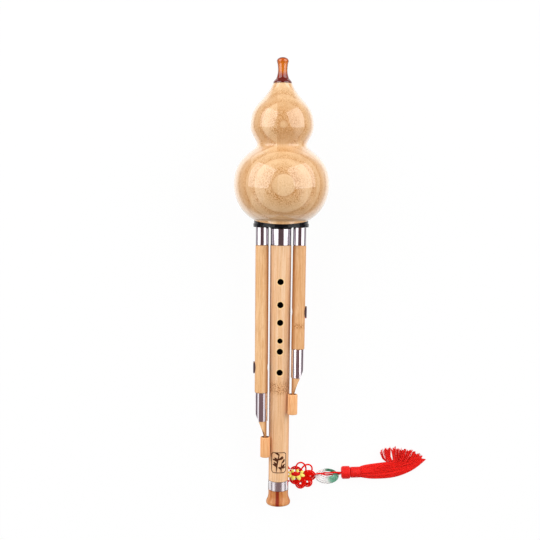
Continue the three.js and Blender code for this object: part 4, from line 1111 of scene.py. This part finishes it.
# The lower strand ends inside the tassel, along its axis
for along in (0.3, HEAD_LENGTH, neck_end, SKIRT_START + 6):
    x, y = HEAD[0] + along * cos(TURN), HEAD[1] + along * sin(TURN)
    under_route.append((x, y, HEAD_RADIUS + CORD_LOW))
tassel_pieces = ["tassel_knob", "tassel_neck", "tassel_threads", "oval_ring"]
free_cord("strand_over", over_route, "hanging_cord_over", "object", "loose")
free_cord("strand_under", under_route, "hanging_cord_under", "fitting", "loose", tassel_pieces)
declare(knot, knot_line, "object", "coiled", [*doubled_cords, "yellow_buds", "flower_dome"])

# Table and light. A white table under two large softboxes, one at each side and a little toward
# the mouthpiece, and a dark ceiling where the camera hangs.
TABLE_HALF, TABLE_TOP = 6.0, -0.0003
table_mesh = bpy.data.meshes.new("table")
corners = [(-1, -1), (1, -1), (1, 1), (-1, 1)]
corners = [(x * TABLE_HALF, y * TABLE_HALF, TABLE_TOP) for x, y in corners]
table_mesh.from_pydata(corners, [], [(0, 1, 2, 3)])
white = Finish("white table")
ray = white.node("LightPath")
glossy, through = ray.other("Is Glossy Ray"), ray.other("Is Transmission Ray")
# Gloss mirrors white paper beside the instrument. Under the instrument and past the paper, the table's
# colour is painted dark for gloss alone: a painted shadow of the instrument below it, and painted shade
# like an unlit room past it
aside, _, _ = white.node("TexCoord", output="Object").parts()
off = aside.calc("ABSOLUTE")
bright = off.step(0.02, 0.03) * (1 - off.step(0.08, 0.12))
# Painted shadow and shade, seen by gloss only, wherever the white band isn't
painted_gloss_shade = (glossy * (1 - bright)).blend((0.9, 0.9, 0.9, 1), (0.12, 0.09, 0.1, 1))
shown = (ray + glossy * bright + through).calc("MINIMUM", 1.0) * 0.95
matt = white.node("BsdfDiffuse", None, {"Color": painted_gloss_shade})
glow = white.node("Emission")
mixed = white.node("MixShader", None, {"Fac": shown, 1: matt, 2: glow})
white.node("OutputMaterial", None, {"Surface": mixed})
table_mesh.materials.append(white.material)
linked("table", table_mesh)

world = bpy.data.worlds.new("studio")
world.use_nodes = True
scene.world = world
air = Tone(world.node_tree)
world.node_tree.nodes.clear()
aside, along, up = air.node("TexCoord", output="Generated").parts()
ceiling = up.step(0.3, 0.8).blend((0.22, 0.18, 0.2, 1), (0.19, 0.12, 0.125, 1))
# A white card under each softbox, toward the bell, which only the gloss shows
off = aside.calc("ABSOLUTE")
card = off.step(0.6, 0.68) * (1 - off.step(0.86, 0.94)) * (1 - along.step(-0.11, -0.07))
ceiling = card.blend(ceiling, (0.95, 0.93, 0.95, 1))
ray = air.node("LightPath")
room = ray.other("Is Glossy Ray").blend((0.33, 0.33, 0.33, 1), ceiling)
sky = (ray + ray.other("Is Transmission Ray")).blend(room, (1, 1, 1, 1))
lit = air.node("Background", None, {"Color": sky})
air.node("OutputWorld", None, {"Surface": lit})

LAMP_SIZE, LAMP_AWAY, LAMP_POWER = 3.0, 2.6, 72
LAMP_ASIDE, LAMP_ALONG = radians(54), radians(20)
for side in (-1, 1):
    softbox = bpy.data.lights.new("softbox", "AREA")
    softbox.shape, softbox.energy = "RECTANGLE", LAMP_POWER
    softbox.size, softbox.size_y = LAMP_SIZE, LAMP_SIZE
    lamp = linked("softbox", softbox)
    toward = Vector((side * sin(LAMP_ASIDE), sin(LAMP_ALONG), cos(LAMP_ASIDE)))
    lamp.location = Vector((0, 0.05, 0.05)) + toward.normalized() * LAMP_AWAY
    lamp.rotation_euler = toward.to_track_quat("Z", "Y").to_euler()
    lamp.visible_camera = False

# Camera. It hangs over the table with a slight turn. The picture is 540 pixels wide, and the
# focal length is 940 of them.
PICTURE, FOCAL, SENSOR = 540, 940, 36
camera_data = bpy.data.cameras.new("camera")
camera_data.sensor_width = SENSOR
camera_data.lens = SENSOR * FOCAL / PICTURE
camera = linked("camera", camera_data)
camera.location = (-0.00992, 0.01525, 0.9137)
camera.rotation_euler = (0, 0, 0.0095)
scene.camera = camera
scene.view_settings.view_transform = "Standard"
